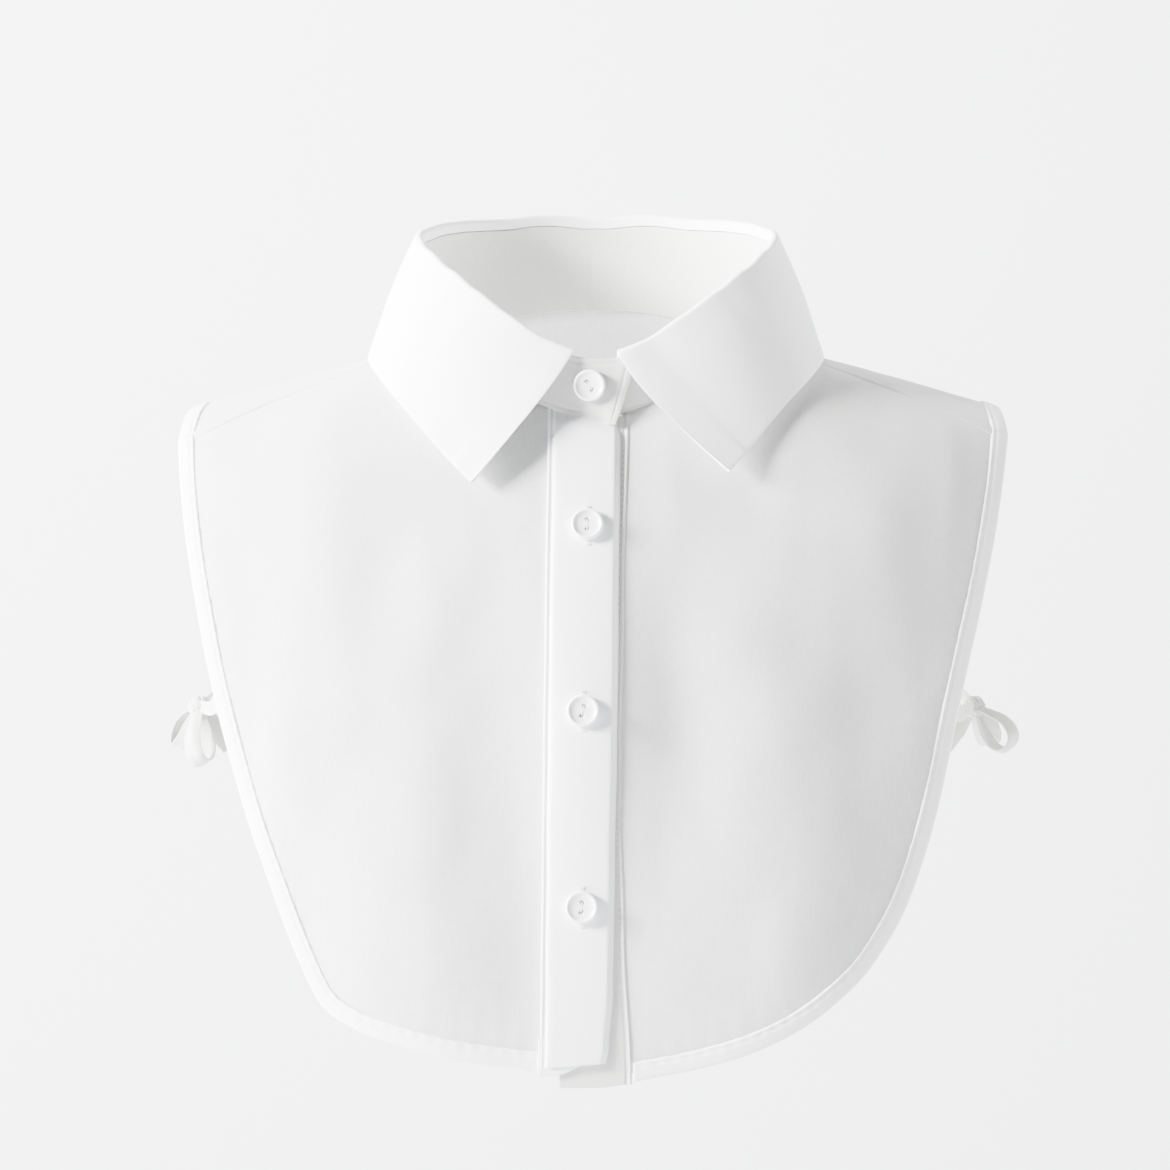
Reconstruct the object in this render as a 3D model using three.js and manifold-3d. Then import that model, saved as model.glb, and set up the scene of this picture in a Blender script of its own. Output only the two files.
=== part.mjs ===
import * as THREE from 'three';
import { mergeVertices } from 'three/addons/utils/BufferGeometryUtils.js';
import Module from 'manifold-3d';

// A detachable shirt collar on a buttoned bib, with bound edges and side ties.
// Millimetres, +Z up. The front faces -Y and the wearer's left is +X.
// The origin is the middle of the neck opening, just above the shoulder line.

const wasm = await Module();
wasm.setup();

const { Vector3 } = THREE;
const DEGREE = Math.PI / 180;

// Cloth thicknesses, and the clearances between two sewn pieces
const clothGap = 0.3;
const seamGap = 0.6;
const openingGap = 0.45;
const panelThickness = 1.2;
const placketThickness = 1.4;
const standThickness = 1.6;
const leafThickness = 1.4;
const bindingThickness = 2.2;
const bindingWidth = 7;
const ribbonThickness = 1;
const ribbonWidth = 7.5;

// Neck seam, an oval in plan that is longer in front than behind
const neckHalfWidth = 66;
const neckFront = 62;
const neckBack = 58;
const neckRise = 6;
const neckRiseReach = 10;

// How the cloth lies: a shoulder ridge with a chest in front and a back behind
const ridgePeak = 5.4;
const ridgeFall = 0.258;
const ridgeRound = 36;
const ridgeBehind = 8;
const drapeHalfWidth = 190;
const drapeSquareness = 2.4;
const ridgeBlend = 6;
const chestDepth = 127;
const chestTop = 48;
const chestRound = 93;
const backDepth = 86;
const backTop = 59;
const backRound = 58;
const hubDrop = 100;

// Outline of the bib
const bibHalfWidth = 152;
const frontDrop = 256;
const backDrop = 238;
const shoulderSeamAngle = 84;
const shoulderSeamForward = 38;

// Collar
const standHeight = 40;
const standLean = 1;
const leafReachRight = 24;
const leafReachLeft = 22.3;
const leafReachBack = 10;
const leafFoot = 2.5;
const leafTipLift = 4;
const leafTipLiftWay = 0.12;
const leftTipAngle = 33.2;
const rightTipAngle = 31;
const leafBulge = 1.2;
const leafRest = 0.9;
const leafStartLeft = 8;
const leafStartRight = 9.1;
const leafStartFade = 14;
const lapFadeFrom = 15;
const lapFade = 45;
const tabEnd = 10.5;
const tabUnder = 13;
const tabDrop = 3.5;
const tabCorner = 5;
const tabCornerDepth = 0.9;
const tabStep = 2.2;
const tabFlare = 0.95;

// Front opening
const placketLeft = 18;
const placketRight = 8.6;
const placketHemRise = 5.1;
const underRight = 11.5;
const underLeft = 13.5;
const underHemDrop = 4.1;
const buttonDiameter = 11.5;
const buttonThickness = 2.4;
const buttonEdge = 0.53;
const buttonRim = 1.27;
const buttonDish = 0.72;
const buttonHole = 1.5;
const buttonHoleApart = 3.2;
const collarButtonAcross = 2.6;
const collarButtonUp = 0.55;
const collarButtonTurn = -58;

// Side ties: the turns of the bow's parts are in degrees from straight down to the back
const tieDrop = 129;
const tieTuck = 5.6;
const tieSag = 1.5;
const loopSplayRight = -0.05;
const loopSplayLeft = 0.8;
const backLoopSplay = 0.4;
const loopTwist = 36;
const pinchedWidth = 4.1;
const knotRadius = 4.2;
const knotInRight = 4;
const knotInLeft = 11.5;
const knotForward = 9;
const knotDrop = 137;
const loopLengthRight = 20;
const loopLengthLeft = 17;
const loopHeightRight = 10;
const loopHeightLeft = 12;
const frontLoopTurn = -38;
const backLoopTurn = 46;
const tailLength = 15;
const tailCurl = 0.4;
const tailSplay = -0.8;
const frontTailTurn = -8;
const backTailTurn = 24;

// Height of the stand with the fold, as shares of standHeight, by angle from the front;
// the first and last rows mirror their neighbours, so that both middles stay level
const standTable = [
  { angle: -15, height: 0.61 },
  { angle: 0, height: 0.585 },
  { angle: 15, height: 0.61 },
  { angle: 30, height: 0.65 },
  { angle: 42, height: 0.68 },
  { angle: 55, height: 0.745 },
  { angle: 70, height: 0.838 },
  { angle: 85, height: 0.915 },
  { angle: 100, height: 0.965 },
  { angle: 120, height: 1 },
  { angle: 150, height: 0.965 },
  { angle: 180, height: 0.9 },
  { angle: 210, height: 0.965 },
];

// Lower edge of the collar leaf: way is the share of the fold from the leaf's start to
// the middle of the back, edge the same share for the edge, and out how far it lies from
// the neck seam in plan, from 0 at leafReachBack to 1 at the reach of its own side
const leafTable = [
  { way: 0, edge: 0, out: 0.95 },
  { way: 0.06, edge: 0.035, out: 0.97 },
  { way: 0.13, edge: 0.09, out: 1 },
  { way: 0.23, edge: 0.17, out: 0.99 },
  { way: 0.36, edge: 0.27, out: 0.76 },
  { way: 0.475, edge: 0.375, out: 0.5 },
  { way: 0.6, edge: 0.5, out: 0.3 },
  { way: 0.75, edge: 0.68, out: 0.12 },
  { way: 1, edge: 1, out: 0 },
];

// Outer edges from the shoulder seam to the opening or the middle of the back:
// across is a share of bibHalfWidth, down a share of frontDrop or backDrop
const outlineFrontRight = [
  { across: 1.008, down: 0.15 },
  { across: 0.992, down: 0.223 },
  { across: 0.954, down: 0.361 },
  { across: 0.903, down: 0.498 },
  { across: 0.836, down: 0.634 },
  { across: 0.753, down: 0.769 },
  { across: 0.683, down: 0.868 },
  { across: 0.643, down: 0.909 },
  { across: 0.57, down: 0.938 },
  { across: 0.456, down: 0.96 },
  { across: 0.293, down: 0.982 },
  { across: 0.09, down: 0.997 },
];
const outlineFrontLeft = [
  { across: 0.99, down: 0.15 },
  { across: 0.962, down: 0.223 },
  { across: 0.913, down: 0.36 },
  { across: 0.856, down: 0.498 },
  { across: 0.8, down: 0.643 },
  { across: 0.739, down: 0.754 },
  { across: 0.655, down: 0.843 },
  { across: 0.537, down: 0.912 },
  { across: 0.397, down: 0.96 },
  { across: 0.236, down: 0.99 },
  { across: 0.078, down: 1.008 },
];
const outlineBack = [
  { across: 0.985, down: 0.2 },
  { across: 0.955, down: 0.33 },
  { across: 0.91, down: 0.47 },
  { across: 0.85, down: 0.61 },
  { across: 0.77, down: 0.74 },
  { across: 0.65, down: 0.86 },
  { across: 0.47, down: 0.94 },
  { across: 0.24, down: 0.985 },
  { across: 0, down: 1 },
];

// Edges of the two plackets: down is a share of frontDrop, the others shares of their sizes
const placketTable = [
  { down: 0.1, left: 0.985, right: 0.97 },
  { down: 0.4, left: 1.03, right: 0.95 },
  { down: 0.69, left: 1.08, right: 0.9 },
  { down: 0.85, left: 1.11, right: 0.6 },
  { down: 1, left: 1.13, right: 0.27 },
];
const underTable = [
  { down: 0.1, right: 1 },
  { down: 0.35, right: 0.82 },
  { down: 0.6, right: 0.72 },
  { down: 0.8, right: 0.85 },
  { down: 1, right: 1.06 },
];

// Soft hollows and swells of the cloth: across and wide are shares of bibHalfWidth,
// down and tall shares of frontDrop, deep is in shares of foldDepth, swells positive
const foldDepth = 5;
const foldFade = 3;
const foldTable = [
  { across: -0.46, down: 0.84, wide: 0.3, tall: 0.23, deep: 1 },
  { across: 0.46, down: 0.84, wide: 0.3, tall: 0.23, deep: 1 },
  { across: 0.2, down: 0.5, wide: 0.1, tall: 0.2, deep: -0.55 },
  { across: -0.27, down: 0.5, wide: 0.12, tall: 0.18, deep: -0.45 },
];

// Buttons down the placket: across is a share of placketLeft, down a share of frontDrop
const buttonTable = [
  { across: -0.2, down: 0.253, turn: 90 },
  { across: -0.28, down: 0.502, turn: 90 },
  { across: -0.3, down: 0.767, turn: 90 },
];

// One loop of a bow, seen from its side: along is a share of its length, apart of its height
const loopTable = [
  { along: 0, apart: 0.12 },
  { along: 0.3, apart: 0.4 },
  { along: 0.7, apart: 0.5 },
  { along: 0.96, apart: 0.26 },
  { along: 1, apart: 0 },
  { along: 0.92, apart: -0.3 },
  { along: 0.6, apart: -0.46 },
  { along: 0.25, apart: -0.34 },
  { along: 0, apart: -0.12 },
];

// Small tools

const mix = (a, b, share) => a + (b - a) * share;

function smooth(share) {
  const s = Math.min(1, Math.max(0, share));
  return s * s * (3 - 2 * s);
}

// A smooth curve through one column of a table, read against another
function curve(table, input, output) {
  const at = table.map((row) => row[input]);
  const value = table.map((row) => row[output]);
  const last = table.length - 1;
  const slope = value.map((v, i) => {
    const a = Math.max(0, i - 1);
    const b = Math.min(last, i + 1);
    return (value[b] - value[a]) / (at[b] - at[a]);
  });
  return (x) => {
    let i = 0;
    while (i < last - 1 && x > at[i + 1]) i += 1;
    const span = at[i + 1] - at[i];
    const t = Math.min(1, Math.max(0, (x - at[i]) / span));
    const rise = value[i + 1] - value[i];
    const ease = t * t * (3 - 2 * t);
    const bend = t * (1 - t) * ((1 - t) * (slope[i] * span - rise) - t * (slope[i + 1] * span - rise));
    return value[i] + rise * ease + bend;
  };
}

// The length shares of a run of points, and the point at such a share
function pointsAtShares(points, count) {
  const lengths = [0];
  for (let i = 1; i < points.length; i += 1) {
    lengths.push(lengths[i - 1] + points[i].distanceTo(points[i - 1]));
  }
  const total = lengths[lengths.length - 1];
  const result = [];
  let i = 0;
  for (let k = 0; k <= count; k += 1) {
    const wanted = (total * k) / count;
    while (i < points.length - 2 && lengths[i + 1] < wanted) i += 1;
    const share = (wanted - lengths[i]) / (lengths[i + 1] - lengths[i]);
    result.push(points[i].clone().lerp(points[i + 1], share));
  }
  return result;
}

// The draped surface

function halfWidthAt(z) {
  if (z >= ridgePeak) return 0;
  const slant = (ridgePeak - z) / ridgeFall + ridgeRound;
  const straight = Math.sqrt(slant ** 2 - ridgeRound ** 2);
  return (straight ** -ridgeBlend + drapeHalfWidth ** -ridgeBlend) ** (-1 / ridgeBlend);
}

function foldAt(x, z) {
  let sum = 0;
  for (const fold of foldTable) {
    const across = (x - fold.across * bibHalfWidth) / (fold.wide * bibHalfWidth);
    const down = (-z - fold.down * frontDrop) / (fold.tall * frontDrop);
    sum += fold.deep * foldDepth * Math.exp(-across * across - down * down);
  }
  return sum;
}

// How far the cloth stands from the ridge plane at this place, in front or behind
function reachAt(x, z, front) {
  const halfWidth = halfWidthAt(z);
  if (Math.abs(x) >= halfWidth) return 0;
  const round = 1 - (Math.abs(x) / halfWidth) ** drapeSquareness;
  if (!front) {
    return backDepth * (1 - Math.exp((z - backTop) / backRound)) * Math.sqrt(round);
  }
  const chest = chestDepth * (1 - Math.exp((z - chestTop) / chestRound));
  return chest * Math.sqrt(round) + foldAt(x, z) * smooth(round * foldFade);
}

function neckRadius(angle) {
  const depth = Math.cos(angle) > 0 ? neckFront : neckBack;
  return 1 / Math.hypot(Math.sin(angle) / neckHalfWidth, Math.cos(angle) / depth);
}

// The cloth turns up a little all round the neck seam, except in front
function riseAt(x, y) {
  const angle = Math.atan2(Math.abs(x), -y);
  const away = Math.max(0, Math.hypot(x, y) - neckRadius(angle));
  const sideways = Math.sin(Math.min(angle, 90 * DEGREE)) ** 2;
  return neckRise * sideways * Math.exp(-away / neckRiseReach);
}

// A place on the cloth, by x and by the turn over the shoulder: 0 level in front,
// 90 degrees on the ridge, 180 level behind
function drape(x, turn) {
  const forward = Math.cos(turn);
  const up = Math.sin(turn);
  let near = 0;
  let far = 2 * (chestDepth + backDepth);
  for (let i = 0; i < 44; i += 1) {
    const reach = (near + far) / 2;
    const z = up * reach - hubDrop;
    const out = Math.abs(forward) * reach;
    if (out < reachAt(x, z, forward > 0) || (out < 1e-9 && z < ridgePeak)) near = reach;
    else far = reach;
  }
  const y = ridgeBehind - forward * near;
  return new Vector3(x, y, up * near - hubDrop + riseAt(x, y));
}

function turnOf(point) {
  const flat = point.z - riseAt(point.x, point.y);
  const turn = Math.atan2(flat + hubDrop, ridgeBehind - point.y);
  return turn < -90 * DEGREE ? turn + 360 * DEGREE : turn;
}

// The turn at which a coordinate of the draped cloth has a value
function turnWhere(x, low, high, below) {
  let a = low;
  let b = high;
  for (let i = 0; i < 40; i += 1) {
    const middle = (a + b) / 2;
    if (below(drape(x, middle))) a = middle;
    else b = middle;
  }
  return (a + b) / 2;
}

const turnAtHeight = (x, z) => turnWhere(x, -85 * DEGREE, 88 * DEGREE, (p) => p.z < z);
const turnAtBackHeight = (x, z) => turnWhere(x, 265 * DEGREE, 92 * DEGREE, (p) => p.z < z);
const turnAtDepth = (x, y) => turnWhere(x, 10 * DEGREE, 170 * DEGREE, (p) => p.y < y);

function normalAt(x, turn) {
  const step = 0.002;
  const side = drape(x + 0.4, turn).sub(drape(x - 0.4, turn));
  const over = drape(x, turn + step).sub(drape(x, turn - step));
  return side.cross(over).normalize();
}

// A flat domain of the cloth: x and turn as a two-number point
const onCloth = (place) => drape(place.x, place.turn);
const placeOf = (point) => ({ x: point.x, turn: turnOf(point) });
const placeAtPlan = (x, y) => ({ x, turn: turnAtDepth(x, y) });

// Shift a run of places along the cloth, towards a point, or away from it if negative
function shifted(places, distance, towards) {
  const points = places.map(onCloth);
  return places.map((place, i) => {
    const before = points[Math.max(0, i - 1)];
    const after = points[Math.min(points.length - 1, i + 1)];
    const way = after.clone().sub(before).normalize();
    const aside = normalAt(place.x, place.turn).cross(way).normalize();
    const sign = Math.sign(aside.dot(towards.clone().sub(points[i])));
    return placeOf(points[i].clone().addScaledVector(aside, sign * distance));
  });
}

// Closed walls from grids of points

function closedGeometry(positions, triangles) {
  const geometry = new THREE.BufferGeometry();
  geometry.setAttribute('position', new THREE.Float32BufferAttribute(positions, 3));
  geometry.setIndex(triangles);
  const merged = mergeVertices(geometry, 1e-4);
  const index = merged.getIndex().array;
  const p = merged.getAttribute('position');
  const a = new Vector3();
  const b = new Vector3();
  const c = new Vector3();
  let volume = 0;
  for (let i = 0; i < index.length; i += 3) {
    a.fromBufferAttribute(p, index[i]);
    b.fromBufferAttribute(p, index[i + 1]);
    c.fromBufferAttribute(p, index[i + 2]);
    volume += a.dot(b.cross(c));
  }
  if (volume < 0) {
    for (let i = 0; i < index.length; i += 3) {
      const first = index[i];
      index[i] = index[i + 1];
      index[i + 1] = first;
    }
  }
  merged.computeVertexNormals();
  return merged;
}

// Two grids, one each side of the cloth, joined round their four edges
function wallBetween(outer, inner) {
  const rows = outer.length;
  const columns = outer[0].length;
  const positions = [...outer.flat(), ...inner.flat()].flatMap((p) => [p.x, p.y, p.z]);
  const triangles = [];
  const front = (i, j) => i * columns + j;
  const rear = (i, j) => rows * columns + i * columns + j;
  const quad = (a, b, c, d) => triangles.push(a, b, c, a, c, d);
  for (let i = 0; i < rows - 1; i += 1) {
    for (let j = 0; j < columns - 1; j += 1) {
      quad(front(i, j), front(i, j + 1), front(i + 1, j + 1), front(i + 1, j));
      quad(rear(i, j), rear(i + 1, j), rear(i + 1, j + 1), rear(i, j + 1));
    }
  }
  for (let j = 0; j < columns - 1; j += 1) {
    quad(front(0, j + 1), front(0, j), rear(0, j), rear(0, j + 1));
    quad(front(rows - 1, j), front(rows - 1, j + 1), rear(rows - 1, j + 1), rear(rows - 1, j));
  }
  for (let i = 0; i < rows - 1; i += 1) {
    quad(front(i, 0), front(i + 1, 0), rear(i + 1, 0), rear(i, 0));
    quad(front(i + 1, columns - 1), front(i, columns - 1), rear(i, columns - 1),
      rear(i + 1, columns - 1));
  }
  return closedGeometry(positions, triangles);
}

function gridNormals(grid) {
  return grid.map((row, i) => row.map((point, j) => {
    const left = row[Math.max(0, j - 1)];
    const right = row[Math.min(row.length - 1, j + 1)];
    const above = grid[Math.max(0, i - 1)][j];
    const below = grid[Math.min(grid.length - 1, i + 1)][j];
    return right.clone().sub(left).cross(below.clone().sub(above)).normalize();
  }));
}

// A wall of cloth about a grid of points; thin can narrow it near an edge
function clothWall(grid, thickness, thin = () => 1) {
  const normals = gridNormals(grid);
  const side = (sign) => grid.map((row, i) => row.map((point, j) => {
    const half = (sign * thickness * thin(i, j)) / 2;
    return point.clone().addScaledVector(normals[i][j], half);
  }));
  return wallBetween(side(1), side(-1));
}

// The same for places on the draped cloth, at a height over it
function drapedWall(places, thickness, over = 0, thin = () => 1) {
  const side = (sign) => places.map((row, i) => row.map((place, j) => {
    const away = over + (sign * thickness * thin(i, j)) / 2;
    const normal = normalAt(place.x, place.turn);
    return onCloth(place).addScaledVector(normal, away);
  }));
  return wallBetween(side(1), side(-1));
}

// The seams and edges that the pieces share

const leftOf = curve(placketTable, 'down', 'left');
const rightOf = curve(placketTable, 'down', 'right');
const underRightOf = curve(underTable, 'down', 'right');
const underRightX = (z) => underRightOf(-z / frontDrop) * underRight;
const openingX = (side, z) => (side > 0 ? underRightX(z) : -underLeft) + side * openingGap;
const placketLeftX = (z) => -leftOf(-z / frontDrop) * placketLeft;
const placketRightX = (z) => rightOf(-z / frontDrop) * placketRight;

function neckPoint(angle) {
  const radius = neckRadius(angle);
  const x = radius * Math.sin(angle);
  const y = -radius * Math.cos(angle);
  return onCloth(placeAtPlan(x, y));
}

// Shoulder seams run from the neck out and forward; side is 1 on the wearer's left
const seamTip = (side, across) => {
  const x = side * across * bibHalfWidth;
  return placeAtPlan(x, ridgeBehind - shoulderSeamForward);
};

function frontOutline(side, table) {
  const places = table.map((row) => {
    const x = side * row.across * bibHalfWidth;
    return { x, turn: turnAtHeight(x, -row.down * frontDrop) };
  });
  places[0] = seamTip(side, table[0].across);
  const hem = -table[table.length - 1].down * frontDrop;
  const x = openingX(side, hem);
  places[places.length - 1] = { x, turn: turnAtHeight(x, hem) };
  return smoothRun(places, 72);
}

function backOutline() {
  const half = (side, first) => [
    seamTip(side, first),
    { x: side * mix(first, outlineBack[0].across, 0.5) * bibHalfWidth, turn: 90 * DEGREE },
    ...outlineBack.map((row) => {
      const x = side * row.across * bibHalfWidth;
      return { x, turn: turnAtBackHeight(x, -row.down * backDrop) };
    }),
  ];
  const left = half(1, outlineFrontLeft[0].across);
  const right = half(-1, outlineFrontRight[0].across);
  right.pop();
  return smoothRun([...left, ...right.reverse()], 144);
}

// A curve through places, as evenly spaced places
function smoothRun(places, count) {
  const knots = places.map((place) => new Vector3(place.x, place.turn / DEGREE, 0));
  const line = new THREE.CatmullRomCurve3(knots, false, 'centripetal');
  const dense = line.getPoints(count * 3).map((k) => drape(k.x, k.y * DEGREE));
  return pointsAtShares(dense, count).map(placeOf);
}

// Neckline of a panel, clear of the stand that is sewn onto it
function neckline(from, to, count) {
  const places = [];
  for (let i = 0; i <= count; i += 1) {
    places.push(placeOf(neckPoint(mix(from, to, i / count))));
  }
  return shifted(places, -(standThickness / 2 + seamGap), new Vector3(0, 0, -neckRise));
}

// Keep a seam edge half a clearance off the seam line, forward or back over the shoulder
function besideSeam(place, forward) {
  const arm = onCloth(place).sub(new Vector3(place.x, ridgeBehind, -hubDrop)).length();
  return { x: place.x, turn: place.turn - (forward * clothGap) / arm };
}

// Fill a panel between its neckline and its outer edge; edgeX bends the first column
function panelPlaces(inner, outer, rows, edgeX) {
  const last = inner.length - 1;
  const grid = [];
  for (let i = 0; i <= rows; i += 1) {
    const share = i / rows;
    const row = inner.map((start, j) => {
      const x = mix(start.x, outer[j].x, share);
      return { x, turn: mix(start.turn, outer[j].turn, share) };
    });
    const bend = edgeX ? edgeX(onCloth(row[0]).z) - row[0].x : 0;
    grid.push(row.map((place, j) => ({
      x: place.x + bend * (1 - j / last) ** 6,
      turn: place.turn,
    })));
  }
  return grid;
}

function pickEvenly(list, count) {
  const result = [];
  for (let i = 0; i <= count; i += 1) {
    result.push(list[Math.round(((list.length - 1) * i) / count)]);
  }
  return result;
}

// Edges that several pieces share

const frontColumns = 24;
const backColumns = 44;
const chestHeart = new Vector3(0, -neckFront, 0);
const backHeart = new Vector3(0, neckBack, 0);
const frontEdgeRight = frontOutline(-1, outlineFrontRight);
const frontEdgeLeft = frontOutline(1, outlineFrontLeft);
const backEdge = backOutline();
const layerUnder = Math.max(bindingThickness, placketThickness, panelThickness) / 2;
const placketOver = layerUnder + clothGap + placketThickness / 2;

// Each edge with its neighbour's next place, so that pieces meet alike at the shoulder
const frontRunRight = [backEdge[backEdge.length - 2], ...frontEdgeRight];
const frontRunLeft = [backEdge[1], ...frontEdgeLeft];
const backRun = [frontEdgeLeft[1], ...backEdge, frontEdgeRight[1]];

function frontInset(side, distance) {
  const run = side > 0 ? frontRunLeft : frontRunRight;
  const inset = shifted(run, distance, chestHeart).slice(1);
  const end = inset[inset.length - 1];
  end.x = openingX(side, onCloth(end).z);
  return inset;
}

const backInset = (distance) => shifted(backRun, distance, backHeart).slice(1, -1);

function seamNeck(side) {
  const step = 0.02;
  const angle = side * shoulderSeamAngle * DEGREE;
  return neckline(angle - step, angle + step, 2)[1];
}

// Front panels: side is -1 for the wearer's right, 1 for the wearer's left

function frontPanel(side) {
  const outer = pickEvenly(frontInset(side, bindingWidth + clothGap), frontColumns).reverse();
  const start = Math.asin(openingX(side, -neckFront / 2) / neckHalfWidth);
  const inner = neckline(start, side * shoulderSeamAngle * DEGREE, frontColumns);
  inner[frontColumns] = besideSeam(seamNeck(side), 1);
  outer[frontColumns] = besideSeam(outer[frontColumns], 1);
  const edgeX = (z) => openingX(side, z);
  return drapedWall(panelPlaces(inner, outer, 10, edgeX), panelThickness);
}

function backPanel() {
  const outer = pickEvenly(backInset(bindingWidth + clothGap), backColumns);
  const seam = shoulderSeamAngle * DEGREE;
  const inner = neckline(seam, 2 * Math.PI - seam, backColumns);
  inner[0] = besideSeam(seamNeck(1), -1);
  inner[backColumns] = besideSeam(seamNeck(-1), -1);
  outer[0] = besideSeam(outer[0], -1);
  outer[backColumns] = besideSeam(outer[backColumns], -1);
  return drapedWall(panelPlaces(inner, outer, 9), panelThickness);
}

// The bound edge, a folded strip with rounded long sides; inset gives the places at a
// distance in from its outer edge

function bindingStrip(inset, count, seams) {
  const shares = [0, 0.15, 0.85, 1];
  const fullness = [0.5, 1, 1, 0.6];
  const columns = shares.map((share) => pickEvenly(inset(share * bindingWidth), count));
  const places = columns[0].map((place, i) => columns.map((column) => {
    const atSeam = i === 0 || (i === count && seams > 1);
    return atSeam ? besideSeam(column[i], seams > 1 ? -1 : 1) : column[i];
  }));
  return drapedWall(places, bindingThickness, 0, (i, j) => fullness[j]);
}

// Plackets: columns across, rows down

function strip(leftX, rightX, topZ, bottomZ, rows, columns, over, thickness) {
  const places = [];
  for (let i = 0; i <= rows; i += 1) {
    const row = [];
    for (let j = 0; j <= columns; j += 1) {
      const share = j / columns;
      const guess = mix(topZ(share), bottomZ(share), i / rows);
      const x = mix(leftX(guess), rightX(guess), share);
      row.push({ x, turn: turnAtHeight(x, guess) });
    }
    places.push(row);
  }
  return drapedWall(places, thickness, over);
}

const neckSeamZ = (x) => neckPoint(Math.asin(x / neckHalfWidth)).z;
const tabDropAt = (x) => tabDrop * smooth((x + tabEnd / 2) / (1.5 * tabEnd));

function topPlacket() {
  const across = (share) => mix(-placketLeft, placketRight, share);
  const under = seamGap + (placketOver + placketThickness) / 2;
  const top = (share) => neckSeamZ(across(share)) - tabDropAt(across(share)) - under;
  const hem = (share) => placketHemRise * smooth(share * 1.2 - 0.2) - frontDrop;
  return strip(placketLeftX, placketRightX, top, hem, 18, 4, placketOver, placketThickness);
}

function underPlacket() {
  const across = (share) => mix(-underLeft, underRight, share);
  const under = standThickness / 2 + 2 * seamGap;
  const top = (share) => neckSeamZ(across(share)) - tabDropAt(across(share)) / 2 - under;
  const hem = () => -frontDrop - underHemDrop;
  const left = () => -underLeft;
  return strip(left, underRightX, top, hem, 18, 3, 0, placketThickness);
}

// The collar stand: one band round the neck whose ends lap over each other in front.
// around is the angle from the front, towards the wearer's left and on past the back

const foldShare = curve(standTable, 'angle', 'height');
const wrap = (standThickness + seamGap) / 2;
const tabEndAngle = Math.asin(tabEnd / neckHalfWidth);
const underEndAngle = Math.asin(tabUnder / neckHalfWidth);
const leftStartAngle = Math.asin(leafStartLeft / neckHalfWidth);
const rightStartAngle = Math.asin(leafStartRight / neckHalfWidth);
const plainRoll = (standThickness + leafThickness) / 4 + clothGap;

const fromFront = (around) => (around > Math.PI ? 2 * Math.PI - around : around);
const isTabSide = (around) => around > Math.PI;
const foldHeight = (angle) => standHeight * foldShare(Math.abs(angle) / DEGREE);
const lapAt = (angle) => wrap * (1 - smooth((angle / DEGREE - lapFadeFrom) / lapFade));

// The fold is wider where the leaf starts over the lapped end
function rollAt(around) {
  if (isTabSide(around)) return plainRoll;
  const past = (around - leftStartAngle) / DEGREE;
  return plainRoll + wrap * (1 - smooth(past / leafStartFade));
}

// How far the stand's own top edge lies below the fold
function leafRiseAt(around) {
  const angle = fromFront(around);
  const foot = mix(clothGap, leafFoot, smooth(angle / DEGREE / 60));
  const covered = rollAt(around) + leafThickness / 2 + clothGap + foot;
  if (!isTabSide(around)) return covered;
  const tab = smooth((rightStartAngle - angle) / (2.5 * DEGREE));
  return mix(covered, tabStep, tab);
}

function standSeam(around) {
  const angle = fromFront(around);
  const seam = neckPoint(around);
  const out = new Vector3(seam.x, seam.y, 0).normalize();
  const lap = isTabSide(around) ? lapAt(angle) : -lapAt(angle);
  const drop = isTabSide(around) ? tabDropAt(seam.x) : 0;
  const foot = seam.clone().addScaledVector(out, lap);
  foot.addScaledVector(out, drop * tabFlare);
  foot.z -= drop;
  return { foot, out, seam };
}

function standPoint(around, share) {
  const { foot, out, seam } = standSeam(around);
  const height = foldHeight(fromFront(around)) - leafRiseAt(around);
  const drop = isTabSide(around) ? tabDropAt(seam.x) : 0;
  const point = foot.clone().addScaledVector(out, -(standLean + drop * tabFlare) * share);
  const endShare = isTabSide(around) ? (tabEndAngle + fromFront(around)) * neckFront : tabCorner;
  const round = tabCorner - Math.sqrt(Math.max(0, tabCorner ** 2
    - Math.max(0, tabCorner - endShare) ** 2));
  point.z = mix(foot.z, seam.z + height - round * tabCornerDepth, share);
  return point;
}

// Places round the fold that the stand and the leaf share, closer together in front
const leafColumns = 44;
const leafStops = [];
for (let j = 0; j <= leafColumns; j += 1) {
  const share = j / leafColumns;
  const eased = share - (0.6 * Math.sin(2 * Math.PI * share)) / (2 * Math.PI);
  leafStops.push(mix(leftStartAngle, 2 * Math.PI - rightStartAngle, eased));
}

function standNormal(around, share) {
  const side = standPoint(around + 0.05, share).sub(standPoint(around - 0.05, share));
  const up = standPoint(around, share + 0.1).sub(standPoint(around, share - 0.1));
  return side.cross(up).normalize();
}

function standBand() {
  const grid = [];
  const rows = 3;
  const first = -underEndAngle;
  const last = 2 * Math.PI + tabEndAngle;
  const stops = [...leafStops];
  for (const share of [0, 0.33, 0.67]) stops.unshift(mix(leafStops[0], first, 1 - share));
  stops.sort((a, b) => a - b);
  const tabStart = leafStops[leafStops.length - 1];
  for (const share of [0.13, 0.4, 0.7]) stops.push(mix(tabStart, last, share));
  const corner = tabCorner / neckFront;
  for (const share of [0.6, 0.3, 0.1, 0]) stops.push(last - corner * share);
  stops.sort((a, b) => a - b);
  for (let i = 0; i <= rows; i += 1) {
    grid.push(stops.map((around) => standPoint(around, i / rows)));
  }
  return clothWall(grid, standThickness);
}

// The collar leaf: it rises from the stand, rolls over and falls to its lower edge

const leafEdgeShare = curve(leafTable, 'way', 'edge');
const leafOutShare = curve(leafTable, 'way', 'out');

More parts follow.
